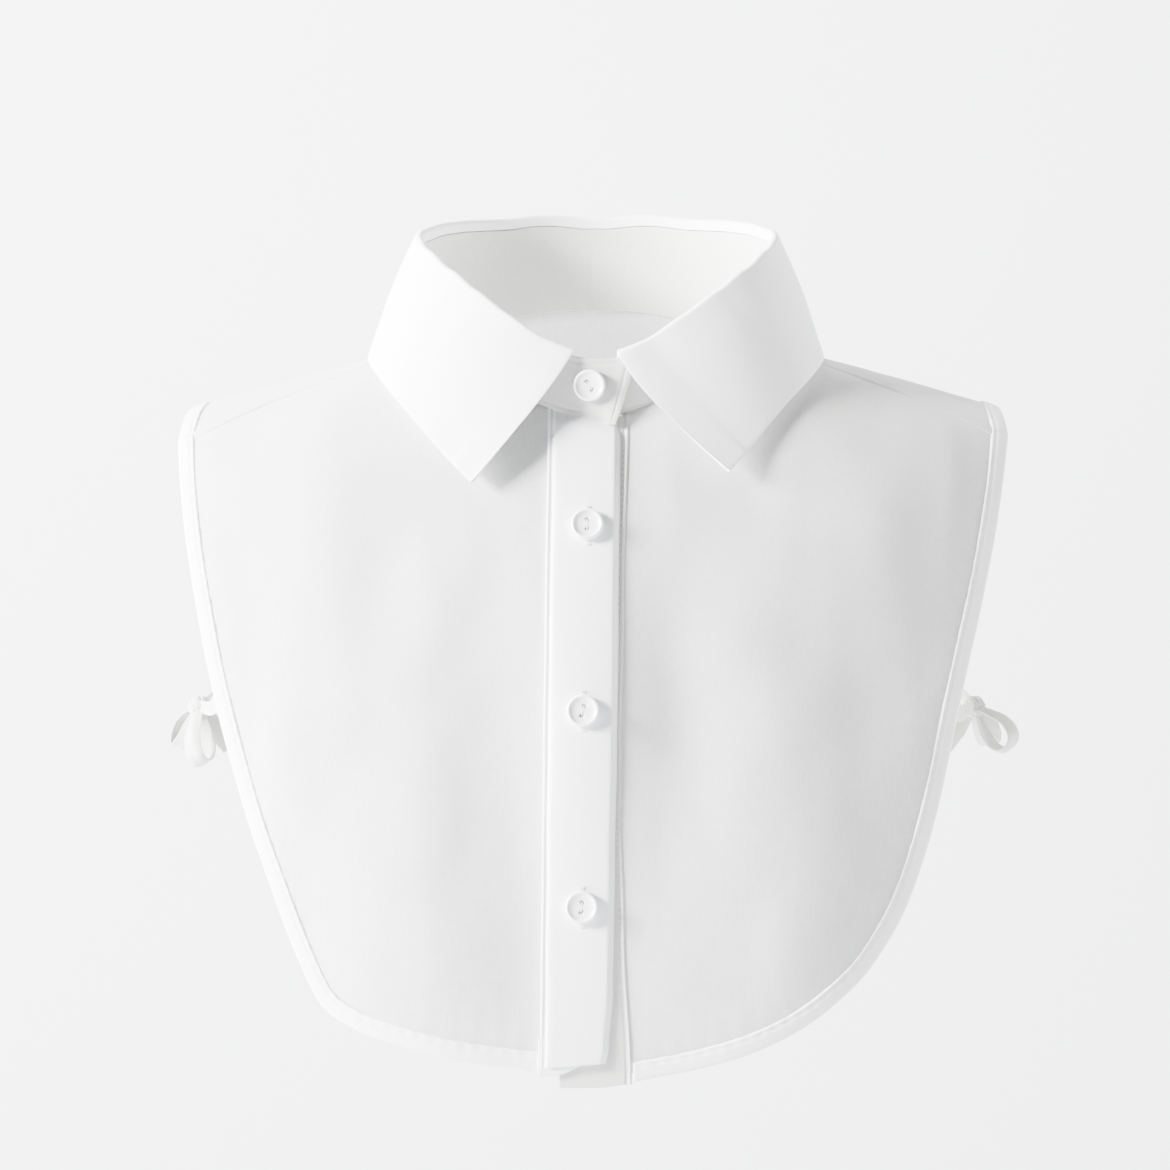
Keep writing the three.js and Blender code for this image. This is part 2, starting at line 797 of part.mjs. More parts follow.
function leafEdge(around) {
  const onTabSide = isTabSide(around);
  const start = onTabSide ? rightStartAngle : leftStartAngle;
  const tip = onTabSide ? rightTipAngle * DEGREE : leftTipAngle * DEGREE;
  const way = (fromFront(around) - start) / (Math.PI - start);
  const angle = mix(tip, Math.PI, leafEdgeShare(way));
  const reach = onTabSide ? leafReachRight : leafReachLeft;
  const radius = neckRadius(angle) + mix(leafReachBack, reach, leafOutShare(way));
  const x = (onTabSide ? -1 : 1) * radius * Math.sin(angle);
  const place = placeAtPlan(x, -radius * Math.cos(angle));
  const lift = leafTipLift * Math.exp(-way / leafTipLiftWay);
  const over = (panelThickness + leafThickness) / 2 + leafRest + lift;
  return onCloth(place).addScaledVector(normalAt(place.x, place.turn), over);
}

function leafLine(around) {
  const { out, seam } = standSeam(around);
  const top = standPoint(around, 1);
  const roll = rollAt(around);
  const foldZ = seam.z + foldHeight(fromFront(around)) - leafThickness / 2 - roll;
  const edge = leafEdge(around);
  const centre = new Vector3(top.x, top.y, foldZ).addScaledVector(out, roll);
  const fall = edge.clone().sub(centre.clone().addScaledVector(out, roll));
  const flare = Math.atan2(Math.max(0, fall.dot(out)), -fall.z);
  const line = [new Vector3(top.x, top.y, top.z + clothGap)];
  const arcSteps = 4;
  for (let k = 0; k <= arcSteps; k += 1) {
    const turn = mix(Math.PI, flare, k / arcSteps);
    const point = centre.clone().addScaledVector(out, roll * Math.cos(turn));
    point.z += roll * Math.sin(turn);
    line.push(point);
  }
  const begin = line[line.length - 1];
  const bulge = out.clone().multiplyScalar(Math.cos(flare));
  bulge.z = Math.sin(flare);
  const fallSteps = 4;
  for (let k = 1; k <= fallSteps; k += 1) {
    const share = k / fallSteps;
    const point = begin.clone().lerp(edge, share);
    line.push(point.addScaledVector(bulge, leafBulge * Math.sin(Math.PI * share)));
  }
  return line;
}

function collarLeaf() {
  return clothWall(leafStops.map(leafLine), leafThickness);
}

// Buttons: a dished disc with a raised rim and two holes, its back at the origin

function toManifold(geometry) {
  const bare = geometry.clone();
  bare.deleteAttribute('normal');
  bare.deleteAttribute('uv');
  const merged = mergeVertices(bare, 1e-4);
  const vertProperties = new Float32Array(merged.getAttribute('position').array);
  const triVerts = new Uint32Array(merged.getIndex().array);
  return new wasm.Manifold(new wasm.Mesh({ numProp: 3, vertProperties, triVerts }));
}

function fromManifold(solid) {
  const mesh = solid.getMesh();
  return closedGeometry(Array.from(mesh.vertProperties), Array.from(mesh.triVerts));
}

function buttonGeometry() {
  const radius = buttonDiameter / 2;
  const bed = buttonThickness - buttonDish;
  const profile = [
    new THREE.Vector2(0, 0),
    new THREE.Vector2(radius - buttonEdge, 0),
    new THREE.Vector2(radius, buttonEdge),
    new THREE.Vector2(radius, buttonThickness - buttonEdge),
    new THREE.Vector2(radius - buttonEdge, buttonThickness),
    new THREE.Vector2(radius - buttonRim, buttonThickness),
    new THREE.Vector2(radius - buttonRim - buttonDish, bed),
    new THREE.Vector2(0, bed),
  ];
  let solid = toManifold(new THREE.LatheGeometry(profile, 18));
  for (const side of [-1, 1]) {
    const hole = new THREE.CylinderGeometry(
      buttonHole / 2, buttonHole / 2, buttonThickness * 3, 6);
    hole.translate((side * buttonHoleApart) / 2, 0, 0);
    solid = solid.subtract(toManifold(hole));
  }
  return fromManifold(solid).rotateX(180 * DEGREE);
}

// Ribbons: flat strips along a few points, with the direction of their width

function ribbon(points, across, widths, steps) {
  const path = new THREE.CatmullRomCurve3(points, false, 'centripetal');
  const sides = new THREE.CatmullRomCurve3(across, false, 'centripetal');
  const last = points.length - 1;
  const grid = [];
  for (let i = 0; i <= steps; i += 1) {
    const share = i / steps;
    const centre = path.getPoint(share);
    const way = path.getTangent(share);
    const aside = sides.getPoint(share);
    aside.addScaledVector(way, -aside.dot(way)).normalize();
    const at = Math.min(last - 1, Math.floor(share * last));
    const half = mix(widths[at], widths[at + 1], share * last - at) / 2;
    grid.push([-1, 1].map((side) => centre.clone().addScaledVector(aside, side * half)));
  }
  return clothWall(grid, ribbonThickness);
}

function knotCentre(side) {
  const knotIn = side > 0 ? knotInLeft : knotInRight;
  return new Vector3(side * (bibHalfWidth - knotIn), -knotForward, -knotDrop);
}

const ribbonUnder = (bindingThickness + ribbonThickness) / 2 + seamGap + clothGap;

// From behind a bound edge to the knot
function tieStrap(side, edge, heart) {
  const height = (place) => Math.abs(onCloth(place).z + tieDrop);
  const ahead = edge.filter((place) => Math.sign(place.x) === side);
  const place = ahead.reduce((best, other) => (height(other) < height(best) ? other : best));
  const at = edge.indexOf(place);
  const along = onCloth(edge[at + 1]).sub(onCloth(edge[at - 1])).normalize();
  if (along.z > 0) along.negate();
  const under = (inset) => {
    const run = shifted([edge[at - 1], place, edge[at + 1]], inset, heart);
    const normal = normalAt(run[1].x, run[1].turn);
    return onCloth(run[1]).addScaledVector(normal, -ribbonUnder);
  };
  const knot = knotCentre(side);
  const inner = under(tieTuck);
  const edgePoint = under(0);
  const arrive = edgePoint.clone().sub(knot).normalize().multiplyScalar(knotRadius + clothGap);
  const end = knot.clone().add(arrive);
  const middle = edgePoint.clone().lerp(end, 0.5).addScaledVector(along, tieSag);
  const down = new Vector3(0, 0, -1);
  const points = [inner, edgePoint, middle, end];
  const across = [along, along, down, down];
  return ribbon(points, across, [ribbonWidth, ribbonWidth, ribbonWidth, pinchedWidth], 8);
}

function knotGeometry() {
  const ball = new THREE.SphereGeometry(knotRadius, 10, 6);
  return fromManifold(toManifold(ball));
}

// Directions out of the knot: the angle is from straight down towards the back, splay
// leads outwards, and twist turns the ribbon about its own way
function knotFrame(side, angle, splay, twist) {
  const along = new Vector3(side * splay, Math.sin(angle * DEGREE), -Math.cos(angle * DEGREE));
  along.normalize();
  const back = new Vector3(1, 0, 0).cross(along).normalize();
  const level = along.clone().cross(back);
  const turn = side * twist * DEGREE;
  const across = level.multiplyScalar(Math.cos(turn)).addScaledVector(back, Math.sin(turn));
  const apart = across.clone().cross(along);
  const start = knotCentre(side).addScaledVector(along, knotRadius + clothGap);
  return { along, apart, start, across };
}

function tieLoop(side, angle, splay, twist) {
  const { along, apart, start, across } = knotFrame(side, angle, splay, twist);
  const length = side > 0 ? loopLengthLeft : loopLengthRight;
  const height = side > 0 ? loopHeightLeft : loopHeightRight;
  const points = loopTable.map((row) => start.clone()
    .addScaledVector(along, row.along * length)
    .addScaledVector(apart, row.apart * height));
  const widths = points.map((p, i) => {
    const end = i === 0 || i === points.length - 1;
    return end ? pinchedWidth : ribbonWidth;
  });
  return ribbon(points, points.map(() => across), widths, 16);
}

function tieTail(side, angle) {
  const { along, apart, start, across } = knotFrame(side, angle, tailSplay, 0);
  const points = [0, 0.5, 1].map((share) => start.clone()
    .addScaledVector(along, share * tailLength)
    .addScaledVector(apart, share * share * tailCurl));
  return ribbon(points, points.map(() => across), [pinchedWidth, ribbonWidth, ribbonWidth], 3);
}

// Materials

const cloth = (color) => () => new THREE.MeshStandardMaterial({
  color, roughness: 0.85, metalness: 0, side: THREE.DoubleSide,
});
const panelCloth = cloth(0xe9ebe9);
const crispCloth = cloth(0xf7f8fa);
const bindingCloth = cloth(0xf4f5f2);
const ribbonCloth = cloth(0xefefec);
const buttonPlastic = () => new THREE.MeshStandardMaterial({
  color: 0xfafafc, roughness: 0.25, metalness: 0,
});

// The assembly

const bib = new THREE.Group();

function add(name, geometry, material) {
  const mesh = new THREE.Mesh(geometry, material());
  mesh.name = name;
  bib.add(mesh);
  return mesh;
}

add('collar_stand', standBand(), crispCloth);
add('collar_leaf', collarLeaf(), crispCloth);
add('front_panel_right', frontPanel(-1), panelCloth);
add('front_panel_left', frontPanel(1), panelCloth);
add('back_panel', backPanel(), panelCloth);
add('placket_buttonhole_side', topPlacket(), crispCloth);
add('placket_button_side', underPlacket(), crispCloth);
const insetRight = (distance) => frontInset(-1, distance);
const insetLeft = (distance) => frontInset(1, distance);
add('binding_front_right', bindingStrip(insetRight, frontColumns, 1), bindingCloth);
add('binding_front_left', bindingStrip(insetLeft, frontColumns, 1), bindingCloth);
add('binding_back', bindingStrip(backInset, backColumns, 2), bindingCloth);

const button = buttonGeometry();
const front = new Vector3(0, -1, 0);

function addButton(name, seat, normal, turn) {
  const mesh = add(name, button, buttonPlastic);
  mesh.position.copy(seat);
  mesh.quaternion.setFromUnitVectors(front, normal);
  mesh.rotateY(turn * DEGREE);
}

const collarButtonAround = 2 * Math.PI - collarButtonAcross / neckHalfWidth;
const collarNormal = standNormal(collarButtonAround, collarButtonUp);
const collarSeat = standPoint(collarButtonAround, collarButtonUp)
  .addScaledVector(collarNormal, standThickness / 2 + seamGap);
addButton('button_collar', collarSeat, collarNormal, collarButtonTurn);

buttonTable.forEach((row, i) => {
  const x = row.across * placketLeft;
  const turn = turnAtHeight(x, -row.down * frontDrop);
  const normal = normalAt(x, turn);
  const over = placketOver + placketThickness / 2 + clothGap;
  const seat = onCloth({ x, turn }).addScaledVector(normal, over);
  addButton(`button_front_${i + 1}`, seat, normal, row.turn);
});

for (const side of [-1, 1]) {
  const hand = side > 0 ? 'left' : 'right';
  const frontEdge = side > 0 ? frontEdgeLeft : frontEdgeRight;
  add(`tie_front_strap_${hand}`, tieStrap(side, frontEdge, chestHeart), ribbonCloth);
  add(`tie_back_strap_${hand}`, tieStrap(side, backEdge, backHeart), ribbonCloth);
  add(`tie_knot_${hand}`, knotGeometry(), ribbonCloth).position.copy(knotCentre(side));
  const loopSplay = side > 0 ? loopSplayLeft : loopSplayRight;
  const frontLoop = tieLoop(side, frontLoopTurn, loopSplay, loopTwist);
  add(`tie_front_loop_${hand}`, frontLoop, ribbonCloth);
  add(`tie_back_loop_${hand}`, tieLoop(side, backLoopTurn, backLoopSplay, 0), ribbonCloth);
  add(`tie_front_tail_${hand}`, tieTail(side, frontTailTurn), ribbonCloth);
  add(`tie_back_tail_${hand}`, tieTail(side, backTailTurn), ribbonCloth);
}

export default bib;
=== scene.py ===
import math

import bmesh
import bpy
import numpy as np
from mathutils import Matrix, Vector, noise


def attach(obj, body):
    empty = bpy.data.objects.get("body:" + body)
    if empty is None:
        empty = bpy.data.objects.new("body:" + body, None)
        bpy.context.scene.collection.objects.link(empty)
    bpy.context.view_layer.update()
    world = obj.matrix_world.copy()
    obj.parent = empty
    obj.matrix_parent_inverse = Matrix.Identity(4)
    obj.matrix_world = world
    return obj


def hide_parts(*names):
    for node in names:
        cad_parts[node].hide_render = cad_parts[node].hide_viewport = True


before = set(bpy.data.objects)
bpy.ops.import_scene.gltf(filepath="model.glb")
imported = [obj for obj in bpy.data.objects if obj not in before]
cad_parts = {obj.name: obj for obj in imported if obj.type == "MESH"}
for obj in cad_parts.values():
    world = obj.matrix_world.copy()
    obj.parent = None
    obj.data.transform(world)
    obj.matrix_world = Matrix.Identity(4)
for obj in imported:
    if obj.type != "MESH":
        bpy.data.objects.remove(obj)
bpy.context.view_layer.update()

# A detachable shirt collar on a buttoned bib, cut from white shirting and worn.
# Sizes are in millimetres and are the solids' own; finished pieces are in metres.
# The front faces -Y, the wearer's left is +X, and the origin is in the neck opening.

MM = 0.001
DEGREE = math.pi / 180

# Layers of cloth, from the middle of the panel outwards
PANEL_PLY = 0.7
PANEL_WALL = 1.2
PLACKET_PLY = 1.1
PLACKET_WALL = 1.4
PLACKET_OVER = 2.1
STAND_PLY = 1.6
LEAF_PLY = 1.4
BINDING_WALL = 2.2
BINDING_WIDTH = 7
BINDING_PLY = 0.45
RIBBON_PLY = 0.5
RIBBON_WALL = 1.0
RIBBON_WIDTH = 7.5
GAP = 0.3
SEAM_GAP = 0.6

# Panels: how far they run under the binding, and their unevenness as length and height
PANEL_TUCK = 2.5
PANEL_PUCKER = 0.12
PANEL_RUMPLE = (34, 1.1)
PANEL_CREASE = (15, 0.32)

# Neck seam
NECK_HALF_WIDTH = 66
NECK_FRONT = 62
NECK_BACK = 58
NECK_RISE = 6
NECK_RISE_REACH = 10
NECK_CATCH = 0.2
NAPE_SETTLE = 3.2
NAPE_WIDE = 11
NAPE_LONG = 14

# How the cloth lies over the shoulders, chest and back
RIDGE_PEAK = 5.4
RIDGE_FALL = 0.258
RIDGE_ROUND = 36
RIDGE_BEHIND = 8
RIDGE_BLEND = 6
DRAPE_HALF_WIDTH = 190
DRAPE_SQUARENESS = 2.4
CHEST_DEPTH = 127
CHEST_TOP = 48
CHEST_ROUND = 93
BACK_DEPTH = 86
BACK_TOP = 59
BACK_ROUND = 58
HUB_DROP = 100

# Outline of the bib
BIB_HALF_WIDTH = 152
FRONT_DROP = 256
BACK_DROP = 238
SHOULDER_SEAM_ANGLE = 84
SHOULDER_SEAM_FORWARD = 38

# Collar
STAND_HEIGHT = 40
STAND_LEAN = 1
LEAF_REACH_RIGHT = 24
LEAF_REACH_LEFT = 22.3
LEAF_REACH_BACK = 10
LEAF_FOOT = 2.5
LEAF_TIP_LIFT = 4
LEAF_TIP_LIFT_WAY = 0.12
LEFT_TIP_ANGLE = 33.2
RIGHT_TIP_ANGLE = 31
LEAF_BULGE = 1.2
LEAF_REST = 0.9
LEAF_BOW_LEFT = 3.2
LEAF_BOW_RIGHT = 1.8
ROLLED_UNDER = 0.85
LEAF_TURN_IN = 6.5
LEAF_START_LEFT = 8
LEAF_START_RIGHT = 9.1
LEAF_START_FADE = 14
LAP_FADE_FROM = 15
LAP_FADE = 45
TAB_END = 10.5
TAB_UNDER = 13
TAB_DROP = 3.5
TAB_CORNER = 5
TAB_CORNER_DEPTH = 0.9
TAB_STEP = 2.2
TAB_FLARE = 0.95
TAB_SLANT = 3.2

# Front opening
PLACKET_LEFT = 18
PLACKET_RIGHT = 8.6
PLACKET_HEM_RISE = 5.1
UNDER_RIGHT = 11.5
UNDER_LEFT = 13.5
UNDER_HEM_DROP = 4.1
UNDER_OVER = 0.62
OPENING_GAP = 0.45
BUTTON_DIAMETER = 11.5
BUTTON_THICKNESS = 2.4
BUTTON_EDGE = 0.53
BUTTON_RIM = 1.27
BUTTON_DISH = 0.72
BUTTON_HOLE = 1.5
BUTTON_HOLE_APART = 3.2
COLLAR_BUTTON_ACROSS = 2.6
COLLAR_BUTTON_UP = 0.55
COLLAR_BUTTON_TURN = -58

# Side ties
TIE_DROP = 129
TIE_TUCK = 5.6
TIE_SAG = 1.5
LOOP_SPLAY_RIGHT = -0.05
LOOP_SPLAY_LEFT = 0.8
BACK_LOOP_SPLAY = 0.4
LOOP_TWIST = 36
PINCHED_WIDTH = 4.1
KNOT_RADIUS = 4.2
KNOT_IN_RIGHT = 4
KNOT_IN_LEFT = 11.5
KNOT_FORWARD = 9
KNOT_DROP = 137
LOOP_LENGTH_RIGHT = 20
LOOP_LENGTH_LEFT = 17
LOOP_HEIGHT_RIGHT = 10
LOOP_HEIGHT_LEFT = 12
TAIL_LENGTH = 15
TAIL_CURL = 0.4
TAIL_SPLAY = -0.8
FRONT_LOOP_TURN = -38
BACK_LOOP_TURN = 46
FRONT_TAIL_TURN = -8
BACK_TAIL_TURN = 24

# Felled seam on the shoulder
FELL_WIDTH = 6.5
FELL_PLY = 0.35

# Stitches, and how far their lines lie in from the edges
STITCH = 2.4
STITCH_GAP = 0.7
THREAD = 0.34
FINE_THREAD = 0.2
BINDING_LINE = 1.5
PLACKET_LINE = 1.75
UNDER_LINE = 1.8
STAND_LINE = 2

# Stand height with the fold, as shares of STAND_HEIGHT, by angle from the front
STAND_TABLE = [
    (-15, 0.61), (0, 0.585), (15, 0.61), (30, 0.65), (42, 0.68), (55, 0.745),
    (70, 0.838), (85, 0.915), (100, 0.965), (120, 1), (150, 0.965), (180, 0.9),
    (210, 0.965),
]

# Lower edge of the leaf: way round from its start, the edge's own way, and how far out
LEAF_TABLE = [
    (0, 0, 0.95), (0.06, 0.035, 0.97), (0.13, 0.09, 1), (0.23, 0.17, 0.99),
    (0.36, 0.27, 0.76), (0.475, 0.375, 0.5), (0.6, 0.5, 0.3), (0.75, 0.68, 0.12),
    (1, 1, 0),
]

# Outer edges: across in shares of BIB_HALF_WIDTH, down in shares of the drop
OUTLINE_FRONT_RIGHT = [
    (1.008, 0.15), (0.992, 0.223), (0.954, 0.361), (0.903, 0.498), (0.836, 0.634),
    (0.753, 0.769), (0.683, 0.868), (0.643, 0.909), (0.57, 0.938), (0.456, 0.96),
    (0.293, 0.982), (0.09, 0.997),
]
OUTLINE_FRONT_LEFT = [
    (0.99, 0.15), (0.962, 0.223), (0.913, 0.36), (0.856, 0.498), (0.8, 0.643),
    (0.739, 0.754), (0.655, 0.843), (0.537, 0.912), (0.397, 0.96), (0.236, 0.99),
    (0.078, 1.008),
]
OUTLINE_BACK = [
    (0.985, 0.2), (0.955, 0.33), (0.91, 0.47), (0.85, 0.61), (0.77, 0.74),
    (0.65, 0.86), (0.47, 0.94), (0.24, 0.985), (0, 1),
]

# Placket edges: down in shares of FRONT_DROP, left and right in shares of their sizes
PLACKET_TABLE = [
    (0.1, 0.985, 0.96), (0.4, 1.03, 0.85), (0.55, 1.055, 0.79), (0.7, 1.08, 0.71),
    (0.87, 1.11, 0.64), (0.955, 1.12, 0.47), (1, 1.13, 0.24),
]
UNDER_TABLE = [(0.1, 1), (0.35, 0.82), (0.6, 0.72), (0.8, 0.85), (1, 1.06)]

# Soft hollows and swells: across and wide in shares of BIB_HALF_WIDTH, down and tall in
# shares of FRONT_DROP, deep in millimetres with swells positive
FOLD_FADE = 3
FOLD_TABLE = [
    (-0.46, 0.84, 0.3, 0.23, 5),
    (0.46, 0.84, 0.3, 0.23, 5),
    (0.2, 0.5, 0.11, 0.2, -3.6),
    (-0.27, 0.5, 0.12, 0.18, -2.25),
    (-0.2, 0.73, 0.14, 0.2, -1.7),
    (-0.5, 0.36, 0.1, 0.1, -1.3),
    (-0.66, 0.24, 0.09, 0.12, 1.2),
    (-0.74, 0.62, 0.07, 0.16, 1.3),
    (0.34, 0.2, 0.12, 0.09, -1.2),
    (0.5, 0.76, 0.12, 0.11, 1.5),
    (0.62, 0.5, 0.09, 0.13, -1.4),
    (0.68, 0.26, 0.08, 0.13, 1.1),
]

# Buttons down the placket: across in shares of PLACKET_LEFT, down of FRONT_DROP
BUTTON_TABLE = [(-0.2, 0.253, 90), (-0.28, 0.502, 75), (-0.3, 0.767, 85)]

# One loop of a bow from its side: along in shares of its length, apart of its height
LOOP_TABLE = [
    (0, 0.12), (0.3, 0.4), (0.7, 0.5), (0.96, 0.26), (1, 0), (0.92, -0.3),
    (0.6, -0.46), (0.25, -0.34), (0, -0.12),
]


# Small tools

def mix(a, b, share):
    return a + (b - a) * share


def smooth(share):
    s = np.clip(share, 0, 1)
    return s * s * (3 - 2 * s)


def curve(table, value_column, share_column=0):
    """A smooth curve through one column of a table, read against another."""
    at = np.array([row[share_column] for row in table], float)
    value = np.array([row[value_column] for row in table], float)
    before = np.maximum(np.arange(len(at)) - 1, 0)
    after = np.minimum(np.arange(len(at)) + 1, len(at) - 1)
    slope = (value[after] - value[before]) / (at[after] - at[before])

    def read(x):
        x = np.asarray(x, float)
        i = np.clip(np.searchsorted(at, x) - 1, 0, len(at) - 2)
        span = at[i + 1] - at[i]
        t = np.clip((x - at[i]) / span, 0, 1)
        rise = value[i + 1] - value[i]
        lean = (1 - t) * (slope[i] * span - rise) - t * (slope[i + 1] * span - rise)
        return value[i] + rise * t * t * (3 - 2 * t) + t * (1 - t) * lean

    return read


def unit(vectors):
    return vectors / np.maximum(np.linalg.norm(vectors, axis=-1, keepdims=True), 1e-12)


def flowing(knots, count):
    """A centripetal curve through knots, in count even steps of its own way."""
    knots = np.asarray(knots, float)
    run = np.vstack([2 * knots[0] - knots[1], knots, 2 * knots[-1] - knots[-2]])
    step = np.maximum(np.sum(np.diff(run, axis=0) ** 2, axis=1) ** 0.25, 1e-4)
    way = np.linspace(0, len(knots) - 1, count + 1)
    i = np.minimum(way.astype(int), len(knots) - 2)
    t = (way - i)[:, None]
    a, b, c, d = run[i], run[i + 1], run[i + 2], run[i + 3]
    u, v, w = step[i][:, None], step[i + 1][:, None], step[i + 2][:, None]
    leave = ((b - a) / u - (c - a) / (u + v) + (c - b) / v) * v
    arrive = ((c - b) / v - (d - b) / (v + w) + (d - c) / w) * v
    return (b + leave * t + (3 * (c - b) - 2 * leave - arrive) * t ** 2
            + (2 * (b - c) + leave + arrive) * t ** 3)


def lengths_along(points):
    steps = np.linalg.norm(np.diff(points, axis=0), axis=1)
    return np.concatenate([[0], np.cumsum(steps)])


def evenly(points, count):
    """The same line of points at even lengths."""
    length = lengths_along(points)
    wanted = np.linspace(0, length[-1], count + 1)
    return np.stack([np.interp(wanted, length, points[:, k]) for k in range(3)], axis=1)


def at_shares(run, shares):
    """Places along an even run, at shares of its way."""
    way = np.asarray(shares) * (len(run) - 1)
    steps = np.arange(len(run))
    return np.stack([np.interp(way, steps, run[:, k]) for k in range(run.shape[1])], axis=-1)


# The draped cloth. A place on it is x and the turn over the shoulder, 0 level in front,
# a quarter turn on the ridge and half a turn level behind.

def half_width_at(z):
    slant = np.maximum(RIDGE_PEAK - z, 1e-9) / RIDGE_FALL + RIDGE_ROUND
    straight = np.sqrt(slant ** 2 - RIDGE_ROUND ** 2)
    return (straight ** -RIDGE_BLEND + DRAPE_HALF_WIDTH ** -RIDGE_BLEND) ** (-1 / RIDGE_BLEND)


def fold_at(x, z):
    total = 0
    for across, down, wide, tall, deep in FOLD_TABLE:
        a = (x - across * BIB_HALF_WIDTH) / (wide * BIB_HALF_WIDTH)
        b = (-z - down * FRONT_DROP) / (tall * FRONT_DROP)
        total = total + deep * np.exp(-a * a - b * b)
    return total


def reach_at(x, z, front):
    """How far the cloth stands from the ridge plane, in front or behind."""
    half_width = half_width_at(z)
    round_off = np.maximum(1 - (np.abs(x) / half_width) ** DRAPE_SQUARENESS, 0)
    chest = CHEST_DEPTH * (1 - np.exp((z - CHEST_TOP) / CHEST_ROUND))
    back = BACK_DEPTH * (1 - np.exp((z - BACK_TOP) / BACK_ROUND))
    ahead = chest * np.sqrt(round_off) + fold_at(x, z) * smooth(round_off * FOLD_FADE)
    reach = np.where(front, ahead, back * np.sqrt(round_off))
    return np.where((np.abs(x) >= half_width) | (z >= RIDGE_PEAK), 0, reach)


def neck_radius(angle):
    depth = np.where(np.cos(angle) > 0, NECK_FRONT, NECK_BACK)
    return 1 / np.hypot(np.sin(angle) / NECK_HALF_WIDTH, np.cos(angle) / depth)


def rise_at(x, y):
    """The cloth turns up a little round the neck seam, except in front."""
    angle = np.arctan2(np.abs(x), -y)
    away = np.maximum(0, np.hypot(x, y) - neck_radius(angle))
    sideways = np.sin(np.minimum(angle, math.pi / 2)) ** 2
    crest = NAPE_SETTLE * np.exp(-(x / NAPE_WIDE) ** 2 - away / NAPE_LONG) * smooth((y - 20) / 25)
    return NECK_RISE * sideways * np.exp(-away / NECK_RISE_REACH) - crest


def drape(x, turn):
    x, turn = np.broadcast_arrays(np.asarray(x, float), np.asarray(turn, float))
    forward = np.cos(turn)
    up = np.sin(turn)
    near = np.zeros_like(x)
    far = np.full_like(x, 2.0 * (CHEST_DEPTH + BACK_DEPTH))
    for _ in range(40):
        reach = (near + far) / 2
        z = up * reach - HUB_DROP
        out = np.abs(forward) * reach
        inside = (out < reach_at(x, z, forward > 0)) | ((out < 1e-9) & (z < RIDGE_PEAK))
        near = np.where(inside, reach, near)
        far = np.where(inside, far, reach)
    y = RIDGE_BEHIND - forward * near
    return np.stack([x, y, up * near - HUB_DROP + rise_at(x, y)], axis=-1)


def drape_normal(x, turn):
    side = drape(x + 0.4, turn) - drape(x - 0.4, turn)
    over = drape(x, turn + 0.002) - drape(x, turn - 0.002)
    return unit(np.cross(side, over))


def turn_of(points):
    flat = points[..., 2] - rise_at(points[..., 0], points[..., 1])
    turn = np.arctan2(flat + HUB_DROP, RIDGE_BEHIND - points[..., 1])
    return np.where(turn < -math.pi / 2, turn + 2 * math.pi, turn)


def turn_where(x, low, high, axis, value):
    """The turn, between two limits in degrees, at which y or z has a value."""
    x, value = np.broadcast_arrays(np.asarray(x, float), np.asarray(value, float))
    a = np.full_like(x, low * DEGREE)
    b = np.full_like(x, high * DEGREE)
    for _ in range(36):
        middle = (a + b) / 2
        below = drape(x, middle)[..., axis] < value
        a = np.where(below, middle, a)
        b = np.where(below, b, middle)
    return (a + b) / 2


def turn_at_height(x, z):
    return turn_where(x, -85, 88, 2, z)


def turn_at_back_height(x, z):
    return turn_where(x, 265, 92, 2, z)


def turn_at_depth(x, y):
    return turn_where(x, 10, 170, 1, y)


def on_cloth(places, over=0.0):
    points = drape(places[..., 0], places[..., 1])
    if np.any(over):
        normals = drape_normal(places[..., 0], places[..., 1])
        points = points + normals * np.broadcast_to(over, points.shape[:-1])[..., None]
    return points


def arm_at(points):
    """How far points are from the line that turns are measured about."""
    return np.linalg.norm(points[..., 1:] - [RIDGE_BEHIND, -HUB_DROP], axis=-1)


def place_of(points):
    return np.stack([points[..., 0], turn_of(points)], axis=-1)


def shifted(places, distance, towards):
    """A run of places moved along the cloth, towards a point or away from it."""
    points = on_cloth(places)
    ahead = np.vstack([points[1:], points[-1:]])
    behind = np.vstack([points[:1], points[:-1]])
    way = unit(ahead - behind)
    aside = unit(np.cross(drape_normal(places[:, 0], places[:, 1]), way))
    sign = np.sign(np.sum(aside * (np.asarray(towards) - points), axis=1))
    return place_of(points + aside * (sign * distance)[:, None])


def front_surface(x, z, over=0.0):
    """Points and normals of the front at these x and z."""
    def point(px, pz):
        flat = pz
        for _ in range(3):
            y = RIDGE_BEHIND - reach_at(px, flat, True)
            flat = pz - rise_at(px, y)
        return np.stack([px, y, pz], axis=-1)

    side = point(x + 0.4, z) - point(x - 0.4, z)
    up = point(x, z + 0.4) - point(x, z - 0.4)
    normals = unit(np.cross(side, up))
    over = np.broadcast_to(over, np.shape(x))
    return point(x, z) + normals * over[..., None], normals


# Edges and seams

SEAM_NECK_ANGLE = SHOULDER_SEAM_ANGLE * DEGREE
CHEST_HEART = (0, -NECK_FRONT, 0)
BACK_HEART = (0, NECK_BACK, 0)
placket_left_share = curve(PLACKET_TABLE, 1)
placket_right_share = curve(PLACKET_TABLE, 2)
under_right_share = curve(UNDER_TABLE, 1)


def placket_left_x(z):
    return -placket_left_share(-z / FRONT_DROP) * PLACKET_LEFT


def placket_right_x(z):
    return placket_right_share(-z / FRONT_DROP) * PLACKET_RIGHT


def under_right_x(z):
    return under_right_share(-z / FRONT_DROP) * UNDER_RIGHT


def opening_x(side, z):
    return (under_right_x(z) if side > 0 else -UNDER_LEFT) + side * OPENING_GAP


def neck_point(angle):
    radius = neck_radius(angle)
    x = radius * np.sin(angle)
    return drape(x, turn_at_depth(x, -radius * np.cos(angle)))


